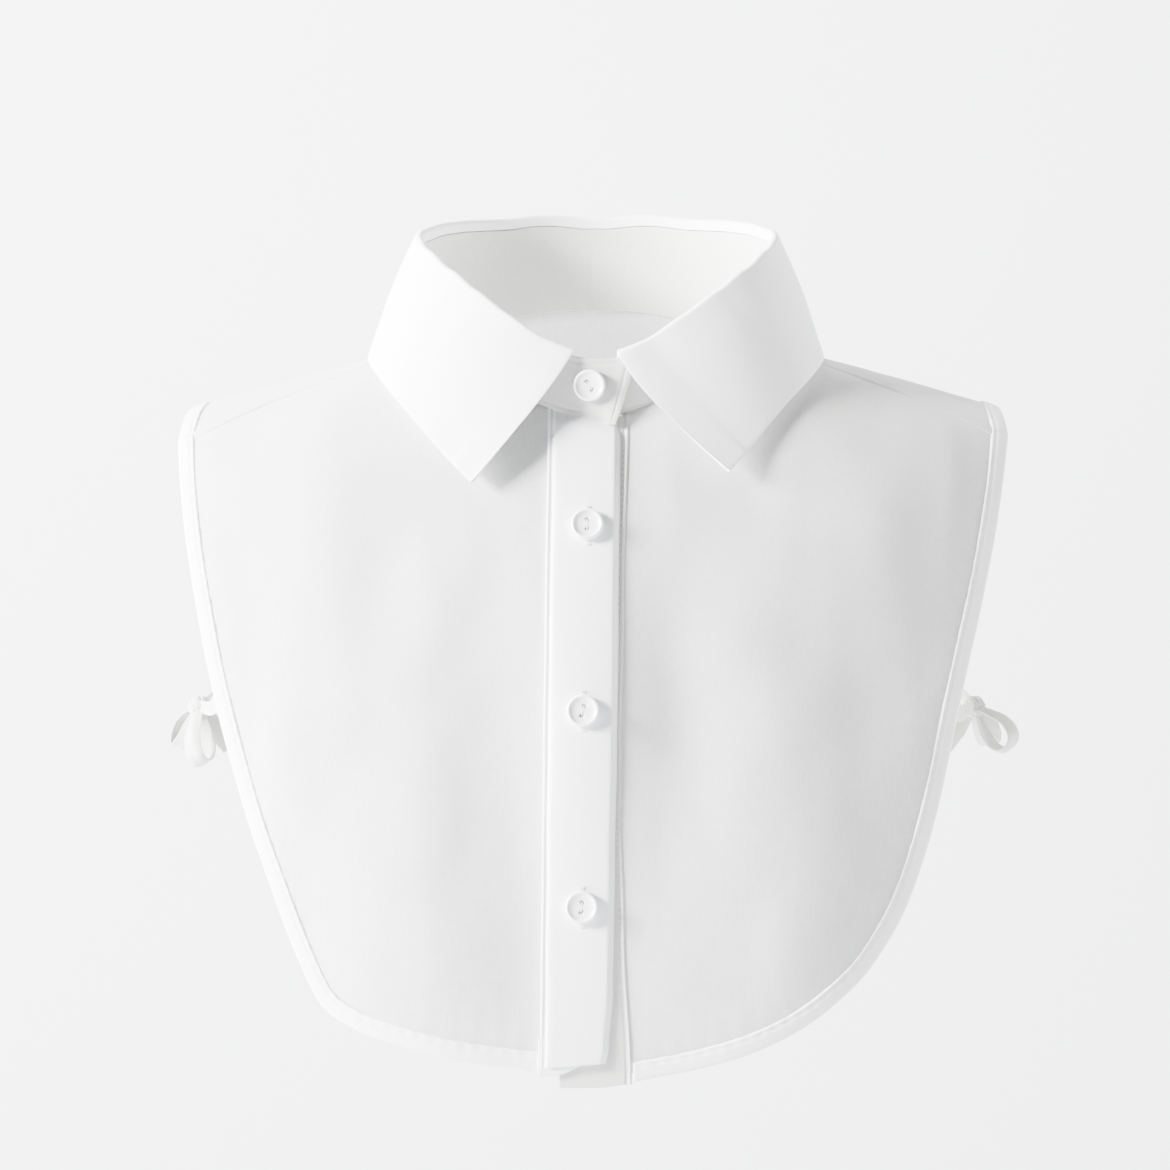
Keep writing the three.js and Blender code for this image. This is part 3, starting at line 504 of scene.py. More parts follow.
def seam_tip(side, across):
    x = side * across * BIB_HALF_WIDTH
    return [x, float(turn_at_depth(x, RIDGE_BEHIND - SHOULDER_SEAM_FORWARD))]


def smooth_run(places, count):
    knots = np.array(places) * [1, 1 / DEGREE]
    dense = flowing(knots, count * 3)
    return place_of(evenly(drape(dense[:, 0], dense[:, 1] * DEGREE), count))


def front_outline(side, table):
    across, down = np.array(table).T
    x = side * across * BIB_HALF_WIDTH
    hem = -down[-1] * FRONT_DROP
    x[-1] = opening_x(side, hem)
    places = np.stack([x, turn_at_height(x, -down * FRONT_DROP)], axis=1)
    places[0] = seam_tip(side, table[0][0])
    return smooth_run(places, 72)


def back_outline():
    across, down = np.array(OUTLINE_BACK).T
    halves = []
    for side, first in ((1, OUTLINE_FRONT_LEFT[0][0]), (-1, OUTLINE_FRONT_RIGHT[0][0])):
        x = side * across * BIB_HALF_WIDTH
        ridge = side * mix(first, across[0], 0.5) * BIB_HALF_WIDTH
        back = np.stack([x, turn_at_back_height(x, -down * BACK_DROP)], axis=1)
        halves.append(np.vstack([seam_tip(side, first), [ridge, math.pi / 2], back]))
    left, right = halves
    return smooth_run(np.vstack([left, right[:-1][::-1]]), 144)


def neckline(angles):
    """Neckline of a panel, caught in the foot of the stand."""
    places = place_of(neck_point(np.asarray(angles)))
    return shifted(places, -NECK_CATCH, (0, 0, -NECK_RISE))


front_edge = {-1: front_outline(-1, OUTLINE_FRONT_RIGHT), 1: front_outline(1, OUTLINE_FRONT_LEFT)}
back_edge = back_outline()


def front_inset(side, distance):
    """The front's outer edge moved in, from the shoulder to the opening."""
    neighbour = back_edge[1] if side > 0 else back_edge[-2]
    run = shifted(np.vstack([neighbour, front_edge[side]]), distance, CHEST_HEART)[1:]
    run[-1, 0] = opening_x(side, on_cloth(run[-1:])[0, 2])
    return run


def back_inset(distance):
    run = np.vstack([front_edge[1][1], back_edge, front_edge[-1][1]])
    return shifted(run, distance, BACK_HEART)[1:-1]


# Making up a piece

def in_scene(name, data):
    obj = bpy.data.objects.new(name, data)
    bpy.context.scene.collection.objects.link(obj)
    return obj


def made_up(bm, name, material=None):
    mesh = bpy.data.meshes.new(name)
    bm.to_mesh(mesh)
    bm.free()
    if material:
        mesh.shade_smooth()
        mesh.materials.append(material)
    return in_scene(name, mesh)


def finished(bm, name, slot, material, *nodes):
    """Turns a bmesh into a piece of the object that stands for these solids."""
    piece = made_up(bm, name, material)
    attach(piece, "root")
    if nodes:
        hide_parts(*nodes)
    return piece


def grid_normals(grid):
    """Normals of a grid of points, rows first."""
    down = np.gradient(grid, axis=0)
    across = np.gradient(grid, axis=1)
    return unit(np.cross(across, down))


def own_grain(grid):
    """The cut's own grid: lengths along the rows and down the columns."""
    across = np.linalg.norm(np.diff(grid, axis=1), axis=2)
    down = np.linalg.norm(np.diff(grid, axis=0), axis=2)
    u = np.pad(np.cumsum(across, axis=1), ((0, 0), (1, 0)))
    v = np.pad(np.cumsum(down, axis=0), ((1, 0), (0, 0)))
    return np.stack([u, v], axis=-1)


def cloth_wall(outer, inner, grain=None, rounding=0.0):
    """A wall of cloth between two grids of points, with its cut edges rounded."""
    rows, columns = outer.shape[0] - 1, outer.shape[1] - 1
    grain = (own_grain(outer) if grain is None else grain).reshape(-1, 2) * MM
    outer, inner = outer.reshape(-1, 3) * MM, inner.reshape(-1, 3) * MM
    bm = bmesh.new()
    bmesh.ops.create_grid(bm, x_segments=columns, y_segments=rows, size=0.5)
    spot = bm.verts.layers.int.new("spot")
    for vert in bm.verts:
        column = round((vert.co.x + 0.5) * columns)
        vert[spot] = round((vert.co.y + 0.5) * rows) * (columns + 1) + column
    cut = bm.loops.layers.uv.new("cut")
    for vert in bm.verts:
        vert.co = outer[vert[spot]]
        for loop in vert.link_loops:
            loop[cut].uv = grain[vert[spot]]
    pulled = bmesh.ops.extrude_face_region(bm, geom=bm.faces[:], use_keep_orig=True)["geom"]
    for vert in pulled:
        if isinstance(vert, bmesh.types.BMVert):
            vert.co = inner[vert[spot]]
    bm.verts.layers.int.remove(spot)
    bmesh.ops.recalc_face_normals(bm, faces=bm.faces[:])
    if rounding:
        rims = [e for e in bm.edges if e.calc_face_angle(0) > 1.0]
        bmesh.ops.bevel(bm, geom=rims, offset=rounding * MM, offset_type="OFFSET",
                        segments=2, profile=0.5, affect="EDGES", material=-1,
                        clamp_overlap=True)
    return bm


# Stitches: short lengths of thread, sunk a little at both ends

def sew(bm, centre, along, aside, up):
    """One stitch round its centre, with its three half lengths."""
    shape = Matrix(((*along, 0), (*aside, 0), (*up, 0), (0, 0, 0, 1))).transposed()
    place = Matrix.Translation(centre * MM) @ Matrix.Scale(MM, 4) @ shape
    bmesh.ops.create_icosphere(bm, subdivisions=1, radius=1.0, matrix=place)


def thread_run(bm, points, normals, thick=THREAD, lift=0.05):
    """A run of stitches along a line of points on the cloth."""
    length = lengths_along(points)
    count = int(length[-1] / STITCH)
    half = (STITCH - STITCH_GAP) / 2
    both = np.hstack([points, normals])
    for k in range(count):
        middle = (k + 0.5) * length[-1] / count
        ends = [middle - half, middle, middle + half]
        a, m, b = [np.array([np.interp(e, length, both[:, c]) for c in range(6)]) for e in ends]
        along = unit(b[:3] - a[:3])
        up = unit(m[3:])
        aside = np.cross(up, along)
        sew(bm, m[:3] + up * lift, along * half, aside * thick / 2, up * thick / 2)


def bar_run(bm, a, b, normal, width, pitch=0.36, thick=0.28):
    """Close satin stitches side by side from a to b, each width long."""
    a, b, normal = (np.asarray(v, float) for v in (a, b, normal))
    along = unit(b - a)
    aside = np.cross(normal, along)
    count = max(1, int(np.linalg.norm(b - a) / pitch))
    for k in range(count + 1):
        sew(bm, mix(a, b, k / count), aside * width / 2, along * thick / 2, normal * thick / 2)


# Materials

def node(tree, kind, **settings):
    made = tree.nodes.new(kind)
    for key, value in settings.items():
        setattr(made, key, value)
    return made


def set_inputs(made, **values):
    for key, value in values.items():
        made.inputs[key.replace("_", " ")].default_value = value


def new_surface(name, **values):
    material = bpy.data.materials.new(name)
    material.use_nodes = True
    tree = material.node_tree
    surface = tree.nodes["Principled BSDF"]
    set_inputs(surface, **values)
    return material, tree, surface


def tint(tree, surface, source, dark, light, low=0.0, high=1.0):
    """Colours the surface between two tones by a pattern's value."""
    tone = node(tree, "ShaderNodeValToRGB")
    for stop, place, colour in zip(tone.color_ramp.elements, (low, high), (dark, light)):
        stop.position = place
        stop.color = (*colour, 1)
    tree.links.new(source, tone.inputs["Fac"])
    tree.links.new(tone.outputs["Color"], surface.inputs["Base Color"])


def clouded(tree, **values):
    """A noise on the piece's own coordinates."""
    place = node(tree, "ShaderNodeTexCoord")
    cloud = node(tree, "ShaderNodeTexNoise")
    set_inputs(cloud, **values)
    tree.links.new(place.outputs["Object"], cloud.inputs["Vector"])
    return cloud.outputs["Fac"]


def shirting(name, light, shade, thread_pitch, slub=0.5, weave=0.35):
    """White woven cloth: threads both ways, slubs along the warp, and a soft bump."""
    material, tree, surface = new_surface(
        name, Roughness=0.85, Sheen_Weight=0.25, Sheen_Roughness=0.5, Specular_IOR_Level=0.25)
    cut = node(tree, "ShaderNodeUVMap", uv_map="cut")
    millimetres = node(tree, "ShaderNodeMapping")
    set_inputs(millimetres, Scale=(1000, 1000, 1000))
    tree.links.new(cut.outputs["UV"], millimetres.inputs["Vector"])
    wave_scale = 2 * math.pi / (20 * thread_pitch)
    threads = []
    for direction in ("X", "Y"):
        band = node(tree, "ShaderNodeTexWave", wave_type="BANDS", bands_direction=direction)
        set_inputs(band, Scale=wave_scale, Distortion=1.2, Detail=2.0, Detail_Scale=0.8)
        tree.links.new(millimetres.outputs["Vector"], band.inputs["Vector"])
        threads.append(band)
    woven = node(tree, "ShaderNodeMath", operation="MULTIPLY")
    tree.links.new(threads[0].outputs["Fac"], woven.inputs[0])
    tree.links.new(threads[1].outputs["Fac"], woven.inputs[1])
    slubs = []
    for scale in ((1.3, 0.28, 1), (0.24, 1.1, 1)):
        stretch = node(tree, "ShaderNodeMapping")
        set_inputs(stretch, Scale=scale)
        tree.links.new(millimetres.outputs["Vector"], stretch.inputs["Vector"])
        grainy = node(tree, "ShaderNodeTexNoise")
        set_inputs(grainy, Scale=1.0, Detail=4.0, Roughness=0.6)
        tree.links.new(stretch.outputs["Vector"], grainy.inputs["Vector"])
        slubs.append(grainy)
    uneven = node(tree, "ShaderNodeMix", data_type="FLOAT")
    uneven.inputs[0].default_value = 0.35
    tree.links.new(slubs[0].outputs["Fac"], uneven.inputs[2])
    tree.links.new(slubs[1].outputs["Fac"], uneven.inputs[3])
    tint(tree, surface, uneven.outputs[0], shade, light, 0.5 - 0.35 * slub, 0.5 + 0.25 * slub)
    height = node(tree, "ShaderNodeMath", operation="ADD")
    tree.links.new(woven.outputs[0], height.inputs[0])
    tree.links.new(uneven.outputs[0], height.inputs[1])
    bump = node(tree, "ShaderNodeBump")
    set_inputs(bump, Strength=weave, Distance=0.00012)
    tree.links.new(height.outputs[0], bump.inputs["Height"])
    tree.links.new(bump.outputs["Normal"], surface.inputs["Normal"])
    return material


def pearl(name, colour):
    """Cast polyester with a faint cloudy depth, as shirt buttons have."""
    material, tree, surface = new_surface(
        name, Roughness=0.28, Coat_Weight=0.35, Coat_Roughness=0.2, Specular_IOR_Level=0.5)
    cloud = clouded(tree, Scale=420.0, Detail=3.0, Distortion=1.5)
    tint(tree, surface, cloud, [c * 0.94 for c in colour], colour, 0.35, 0.65)
    return material


def plain_thread(name, colour):
    """Sewing thread, twisted and faintly glossy."""
    material, tree, surface = new_surface(
        name, Roughness=0.6, Sheen_Weight=0.2, Specular_IOR_Level=0.35)
    twist = clouded(tree, Scale=2500.0, Detail=2.0)
    tint(tree, surface, twist, [c * 0.9 for c in colour], colour)
    return material


# Camera, light and backdrop

def aim(obj, target):
    way = Vector(target) - obj.location
    obj.rotation_euler = way.to_track_quat("-Z", "Y").to_euler()


def make_camera():
    camera = bpy.data.cameras.new("camera")
    camera.lens = 145
    camera.sensor_width = 36
    obj = in_scene("camera", camera)
    obj.location = (-0.0044, -1.75353, 0.06116)
    aim(obj, (-0.0044, -0.06, -0.087))
    bpy.context.scene.camera = obj


def soft_light(name, place, target, size, watts):
    light = bpy.data.lights.new(name, "AREA")
    light.shape = "RECTANGLE"
    light.size, light.size_y = size
    light.energy = watts
    obj = in_scene(name, light)
    obj.location = place
    aim(obj, target)


# Soft lights: where they stand, where they point, size and power
LIGHTS = [
    ("key", (-2.05, -0.85, 0.8), (0, 0, -0.08), (0.6, 0.6), 470),
    ("side", (-2.0, -0.2, 0.5), (0, 0, -0.08), (0.9, 0.9), 300),
    ("fill", (1.9, -1.1, 0.5), (0, 0, -0.1), (1.4, 1.4), 6),
    ("rim", (2.0, 0.2, 0.4), (0, 0, -0.1), (0.8, 0.8), 85),
    ("wall_left", (-1.6, 0.7, 1.3), (-0.6, 2.4, 0.3), (1.4, 0.8), 128),
    ("wall_right", (1.6, 0.7, 1.3), (0.3, 2.4, 0.5), (1.4, 0.8), 40),
]
SKY = 0.011


def make_studio():
    for name, place, target, size, watts in LIGHTS:
        soft_light(name, place, target, size, watts)
    world = bpy.data.worlds.new("studio")
    bpy.context.scene.world = world
    world.use_nodes = True
    sky = world.node_tree.nodes["Background"]
    sky.inputs["Color"].default_value = (0.96, 0.97, 1.0, 1)
    sky.inputs["Strength"].default_value = SKY
    make_backdrop()


def corners_of(geometry):
    return [g for g in geometry if isinstance(g, bmesh.types.BMVert)]


def edges_of(geometry):
    return [g for g in geometry if isinstance(g, bmesh.types.BMEdge)]


def make_backdrop():
    """A pale floor that sweeps up into a wall."""
    floor, near, wall, half, bend, tall = -0.75, -4.0, 1.6, 4.0, 0.8, 3.0
    bm = bmesh.new()
    line = bm.edges.new([bm.verts.new((x, near, floor)) for x in (-half, half)])
    level = bmesh.ops.extrude_edge_only(bm, edges=[line])["geom"]
    moved = corners_of(level)
    bmesh.ops.translate(bm, verts=moved, vec=(0, wall - near, 0))
    foot = [edge for edge in edges_of(level) if all(v in moved for v in edge.verts)]
    sweep = bmesh.ops.spin(bm, geom=foot, cent=(0, wall, floor + bend), axis=(1, 0, 0),
                           angle=math.pi / 2, steps=16)["geom_last"]
    top = bmesh.ops.extrude_edge_only(bm, edges=edges_of(sweep))["geom"]
    bmesh.ops.translate(bm, verts=corners_of(top), vec=(0, 0, tall))
    material, _, surface = new_surface("backdrop_paper", Roughness=0.9)
    surface.inputs["Base Color"].default_value = (0.84, 0.85, 0.87, 1)
    made_up(bm, "backdrop", material)


make_camera()
make_studio()

panel_cloth = shirting("panel_cloth", (0.66, 0.665, 0.65), (0.57, 0.577, 0.562), 0.36)
crisp_cloth = shirting("crisp_cloth", (0.94, 0.945, 0.96), (0.91, 0.92, 0.945), 0.3, slub=0.8,
                       weave=0.2)
binding_cloth = shirting("binding_cloth", (0.95, 0.955, 0.93), (0.91, 0.915, 0.895), 0.32,
                         slub=0.7, weave=0.25)
# The stand's cloth is greyer than the leaf's: painted shade for the leaf's shadow on the tab and
# the shade inside the collar, also used as painted shade on the under placket.
stand_cloth_painted_shade = shirting("stand_cloth_painted_shade", (0.64, 0.638, 0.615), (0.56, 0.558, 0.535), 0.3, slub=0.6)
# The ribbon is white cloth; its grey colour here is painted shade.
ribbon_cloth = shirting("ribbon_cloth", (0.60, 0.59, 0.57), (0.52, 0.51, 0.49), 0.34, weave=0.3)
button_pearl = pearl("button_pearl", (0.95, 0.95, 0.98))
white_thread = plain_thread("white_thread", (0.9, 0.9, 0.9))


# Panels

def crumple(grid, size, depth, seed):
    """A soft unevenness of cloth, as a height at each point of a grid."""
    offset = Vector((seed * 7.3, seed * 3.1, seed * 5.7))
    heights = [depth * noise.noise(Vector(p) / size + offset) for p in grid.reshape(-1, 3)]
    return np.array(heights).reshape(grid.shape[:-1])


def panel_wall(inner, outer, columns, rows, edge_x, seed):
    """Lays a fan of cloth from its neckline to its outer edge and gives it a wall."""
    share = np.linspace(0, 1, rows + 1) ** 0.92
    a = at_shares(inner, np.linspace(0, 1, columns + 1))
    b = at_shares(outer, np.linspace(0, 1, columns + 1))
    places = mix(a[None], b[None], share[:, None, None])
    if edge_x is not None:
        z = drape(places[:, 0, 0], places[:, 0, 1])[:, 2]
        bend = edge_x(z) - places[:, 0, 0]
        fade = (1 - np.linspace(0, 1, columns + 1)) ** 6
        places[:, :, 0] += bend[:, None] * fade[None]
    flat = drape(places[..., 0], places[..., 1])
    normals = drape_normal(places[..., 0], places[..., 1])
    rim, neck, end, start = (np.linalg.norm(flat - edge, axis=2) for edge in (
        flat[-1:], flat[:1], flat[:, -1:], flat[:, :1]))
    height = crumple(flat, *PANEL_RUMPLE, seed)
    height += crumple(flat * [1, 1, 0.6], *PANEL_CREASE, seed + 3)
    height *= smooth((rim - BINDING_WIDTH) / 16) * smooth(neck / 14) * smooth(end / 16)
    height *= smooth((start if edge_x is None else np.abs(flat[..., 0]) - 13) / 16)
    run = lengths_along(flat[-1])
    ripple = np.sin(run * 2 * math.pi / 8.5 + 1.7 * np.sin(run / 23))
    ripple *= PANEL_PUCKER * (0.6 + 0.4 * np.sin(run / 17))
    height += ripple[None] * np.exp(-((rim - 8) / 9) ** 2)
    cloth = flat + normals * (height + PANEL_PLY / 2)[..., None]
    under = flat + normals * (height - PANEL_PLY / 2)[..., None]
    grain = np.stack([places[..., 0], places[..., 1] * np.mean(arm_at(flat))], axis=-1)
    return cloth_wall(cloth, under, grain), cloth


def front_panel(side):
    hand = "left" if side > 0 else "right"
    outer = front_inset(side, PANEL_TUCK)[::-1]
    start = math.asin(opening_x(side, -NECK_FRONT / 2) / NECK_HALF_WIDTH)
    inner = neckline(np.linspace(start, side * SEAM_NECK_ANGLE, 49))
    bm, cloth = panel_wall(inner, outer, 120, 84, lambda z: opening_x(side, z) - side * 3.0,
                           side + 2)
    piece = finished(bm, f"front_{hand}", "panel_cloth", panel_cloth, f"front_panel_{hand}")


def back_panel():
    outer = back_inset(PANEL_TUCK)
    inner = neckline(np.linspace(SEAM_NECK_ANGLE, 2 * math.pi - SEAM_NECK_ANGLE, 89))
    bm, cloth = panel_wall(inner, outer, 190, 72, None, 7)
    piece = finished(bm, "back", "panel_cloth", panel_cloth, "back_panel")


def shoulder_seam(side):
    """The felled seam that joins a front to the back over the shoulder."""
    hand = "left" if side > 0 else "right"
    neck = neckline([side * SEAM_NECK_ANGLE % (2 * math.pi)])[0]
    rim = front_inset(side, BINDING_WIDTH - 1)[0]
    spine = mix(neck[None], rim[None], np.linspace(0.02, 1, 91)[:, None])
    arm = arm_at(on_cloth(spine))
    rows, under = [], []
    for across in np.linspace(-1, 1, 25):
        places = spine + np.stack([0 * arm, across * FELL_WIDTH / 2 / arm], axis=1)
        sewn = 0.16 * math.exp(-((abs(across) - 0.72) / 0.12) ** 2)
        over = PANEL_PLY / 2 + FELL_PLY * (1 - abs(across) ** 6) - sewn
        rows.append(on_cloth(places, over + 0 * arm))
        under.append(on_cloth(places, over - 0.45 + 0 * arm))
    bm = cloth_wall(np.stack(rows), np.stack(under))
    finished(bm, f"shoulder_seam_{hand}", "panel_cloth", panel_cloth)


# Binding: a strip folded round the edge, stitched near its inner fold

BINDING_PROFILE = 26


def binding(name, inset, columns, node_name):
    """The profile runs from the inner fold in front, round the edge, to the one behind."""
    half = BINDING_WALL / 2
    turn_in = half * 0.95
    run_in = BINDING_WIDTH - turn_in
    share = np.linspace(0, 1, BINDING_PROFILE + 1)
    shares = np.linspace(0, 1, columns + 1)
    lines = []
    for s in share:
        if s < 0.38:
            t = s / 0.38
            depth = BINDING_WIDTH - run_in * t
            stitched = 0.3 * math.exp(-((depth - (BINDING_WIDTH - BINDING_LINE)) / 0.6) ** 2)
            tip = 0.75 * smooth(1 - t / 0.06)
            height = half * (0.92 + 0.08 * math.sin(math.pi * t)) - stitched - tip
        elif s > 0.62:
            t = (1 - s) / 0.38
            depth = BINDING_WIDTH - run_in * t
            tip = 0.75 * smooth(1 - t / 0.06)
            height = -(half * 0.92 - tip)
        else:
            angle = math.pi * (s - 0.38) / 0.24
            depth = turn_in - turn_in * math.sin(angle)
            height = half * 0.92 * math.cos(angle)
        places = at_shares(inset(depth), shares)
        lines.append((places, height))
    spine = on_cloth(lines[0][0])
    run = lengths_along(spine)
    gathers = np.sin(run * 2 * math.pi / 5.2 + 2.1 * np.sin(run / 31))
    swell = np.sin(run * 2 * math.pi / 37 + 0.8)
    rows = []
    for s, (places, height) in zip(share, lines):
        near_stitch = math.exp(-((s - 0.09) / 0.1) ** 2)
        over = height + 0.09 * gathers * near_stitch + 0.08 * swell * np.sign(height)
        rows.append(on_cloth(places, over))
    grid = np.stack(rows)
    middle = (grid[2] + grid[-3]) / 2
    normals = grid_normals(grid)
    normals *= np.sign(np.sum(normals[2] * (grid[2] - middle)))
    inner = grid - normals * BINDING_PLY
    bm = cloth_wall(grid, inner)
    piece = finished(bm, name, "binding_cloth", binding_cloth, node_name)


# Plackets: a profile across each strip, with folded and stitched edges

def strip_grid(left_x, right_x, top, hem, rows, across, over):
    """across lists shares of the strip's width, over its height there."""
    down = np.linspace(0, 1, rows + 1)
    across = np.asarray(across, float)
    guess = mix(top(across)[None], hem(across)[None], down[:, None])
    x = mix(left_x(guess), right_x(guess), across[None])
    points, normals = front_surface(x, guess, np.broadcast_to(over, x.shape))
    return points, normals, x, guess


def neck_seam_z(x):
    return neck_point(np.arcsin(x / NECK_HALF_WIDTH))[..., 2]


def tab_drop_at(x):
    return TAB_DROP * smooth((x + TAB_END / 2) / (1.5 * TAB_END))


def crowded(count, edge=0.14, crowd=0.34):
    """Shares from 0 to 1 that lie closer together near both ends."""
    near = int(count * crowd)
    ends = edge * np.linspace(0, 1, near + 1)
    middle = np.linspace(edge, 1 - edge, count - 2 * near + 1)[1:-1]
    return np.concatenate([ends, middle, (1 - ends)[::-1]])


def top_placket():
    across = crowded(44)
    width = PLACKET_LEFT + PLACKET_RIGHT
    from_left = across * width
    from_right = (1 - across) * width
    sewn_down = -1.15 * np.exp(-(from_left / 2.2) ** 2)
    ridge = 0.28 * np.exp(-((from_left - 0.5) / 0.55) ** 2)
    valley = -0.5 * np.exp(-((from_left - PLACKET_LINE) / 0.5) ** 2)
    fold = -1.5 * np.exp(-(from_right / 1.3) ** 2)
    crown = 0.35 * np.sin(math.pi * across)
    over = PLACKET_OVER + PLACKET_WALL / 2 + sewn_down + ridge + valley + fold + crown

    def top(share):
        x = mix(-PLACKET_LEFT, PLACKET_RIGHT, share)
        return neck_seam_z(x) - tab_drop_at(x) + 1.2

    def hem(share):
        return 3.2 + 1.6 * share - FRONT_DROP

    points, normals, x, z = strip_grid(placket_left_x, placket_right_x, top, hem, 230, across,
                                       over)
    tucked = -1.9 * smooth(1 - (z[:1] - z) / 6.5)
    near_line = np.exp(-((from_left - 1.7) / 2.0) ** 2)
    ripple = 0.12 * np.sin(z / 9 + 1.3 * np.sin(z / 31)) * near_line
    wave = 0.175 * np.sin(z / 27 + 0.7) * smooth(from_right / 18) * smooth(from_left / 8)
    points = points + normals * (tucked + ripple + wave)[..., None]
    grain = np.stack([x, z], axis=-1)
    bm = cloth_wall(points, points - normals * PLACKET_PLY, grain, 0.35)
    piece = finished(bm, "placket_top", "crisp_cloth", crisp_cloth, "placket_buttonhole_side")


def placket_hem():
    """The turned-in layer of the placket, which peeps out under its hem."""
    across = np.linspace(0, 1, 25)
    over = PLACKET_OVER - 0.15 + 0 * across

    def top(share):
        return 14 - FRONT_DROP + 0 * share

    def hem(share):
        return PLACKET_HEM_RISE * smooth(share * 1.2 - 0.2) - FRONT_DROP + 0.25 * np.sin(9 * share)

    points, normals, x, z = strip_grid(
        lambda z: placket_left_x(z) - 0.6, lambda z: placket_right_x(z) - 3.0,
        top, hem, 16, across, over)
    bm = cloth_wall(points, points - normals * 0.7, np.stack([x, z], axis=-1), 0.2)
    finished(bm, "placket_hem_fold", "crisp_cloth", crisp_cloth)


def under_placket():
    across = crowded(36)
    width = UNDER_LEFT + UNDER_RIGHT
    from_right = (1 - across) * width
    ridge = 0.4 * np.exp(-((from_right - 0.5) / 0.6) ** 2)
    valley = -0.3 * np.exp(-((from_right - UNDER_LINE) / 0.5) ** 2)
    tuck = -0.5 * np.exp(-(from_right / 0.4) ** 2)
    over = UNDER_OVER + ridge + valley + tuck

    def top(share):
        x = mix(-UNDER_LEFT, UNDER_RIGHT, share)
        under_tab = tab_drop_at(x) / 2 + STAND_PLY / 2 + 2 * SEAM_GAP
        return neck_seam_z(x) - mix(under_tab, 0.4, smooth((x - 1) / 4))

    def hem(share):
        return -FRONT_DROP - UNDER_HEM_DROP + 1.3 * smooth(share * 2 - 1)

    points, normals, x, z = strip_grid(lambda z: -UNDER_LEFT + 0 * z, under_right_x, top, hem, 230,
                                       across, over)
    grain = np.stack([x, z], axis=-1)
    bm = cloth_wall(points, points - normals * 1.0, grain, 0.35)
    # The under placket takes the stand's greyer cloth as painted shade from the top placket lying
    # over it.
    piece = finished(bm, "placket_under", "crisp_cloth", stand_cloth_painted_shade, "placket_button_side")


# Collar stand and leaf

fold_share = curve(STAND_TABLE, 1)
WRAP = (STAND_PLY + SEAM_GAP) / 2
tab_end_angle = math.asin(TAB_END / NECK_HALF_WIDTH)
under_end_angle = math.asin(TAB_UNDER / NECK_HALF_WIDTH)
left_start_angle = math.asin(LEAF_START_LEFT / NECK_HALF_WIDTH)
right_start_angle = math.asin(LEAF_START_RIGHT / NECK_HALF_WIDTH)
PLAIN_ROLL = (STAND_PLY + LEAF_PLY) / 4 + GAP


def from_front(around):
    return np.where(around > math.pi, 2 * math.pi - around, around)


def fold_height(angle):
    return STAND_HEIGHT * fold_share(np.abs(angle) / DEGREE)


def lap_at(angle):
    return WRAP * (1 - smooth((angle / DEGREE - LAP_FADE_FROM) / LAP_FADE))


def roll_at(around):
    past = (around - left_start_angle) / DEGREE
    lapped = PLAIN_ROLL + WRAP * (1 - smooth(past / LEAF_START_FADE))
    return np.where(around > math.pi, PLAIN_ROLL, lapped)


def leaf_rise_at(around):
    angle = from_front(around)
    foot = mix(GAP, LEAF_FOOT, smooth(angle / DEGREE / 60))
    covered = roll_at(around) + LEAF_PLY / 2 + GAP + foot
    tab = smooth((right_start_angle - angle) / (2.5 * DEGREE))
    return np.where(around > math.pi, mix(covered, TAB_STEP, tab), covered)


def stand_seam(around):
    around = np.asarray(around, float)
    tab_side = around > math.pi
    seam = neck_point(around)
    out = unit(seam * [1, 1, 0])
    lap = np.where(tab_side, 1, -1) * lap_at(from_front(around))
    drop = np.where(tab_side, tab_drop_at(seam[..., 0]), 0)
    foot = seam + out * (lap + drop * TAB_FLARE)[..., None]
    foot[..., 2] -= drop
    return foot, out, seam, drop


def stand_points(around, shares):
    """A grid of points: rows up the stand, columns round it."""
    slant = TAB_SLANT * smooth((around - 2 * math.pi - tab_end_angle) / 0.16 + 1)
    foot, out, seam, drop = stand_seam(around)
    height = fold_height(from_front(around)) - leaf_rise_at(around)
    aside = np.stack([-out[:, 1], out[:, 0], 0 * around], axis=-1)
    end = np.where(around > math.pi, (tab_end_angle + from_front(around)) * NECK_FRONT, TAB_CORNER)
    inset = np.maximum(0, TAB_CORNER - end)
    corner = TAB_CORNER - np.sqrt(np.maximum(0, TAB_CORNER ** 2 - inset ** 2))
    rows = []
    for share in shares:
        point = foot - out * ((STAND_LEAN + drop * TAB_FLARE) * share)[..., None]
        point[..., 2] = mix(foot[..., 2], seam[..., 2] + height - corner * TAB_CORNER_DEPTH, share)
        rows.append(point + aside * (slant * (share - 1.25 * (1 - share) ** 1.3))[:, None])
    return np.stack(rows)


def spaced_round(first, last, step):
    return np.linspace(first, last, int((last - first) / step) + 1)


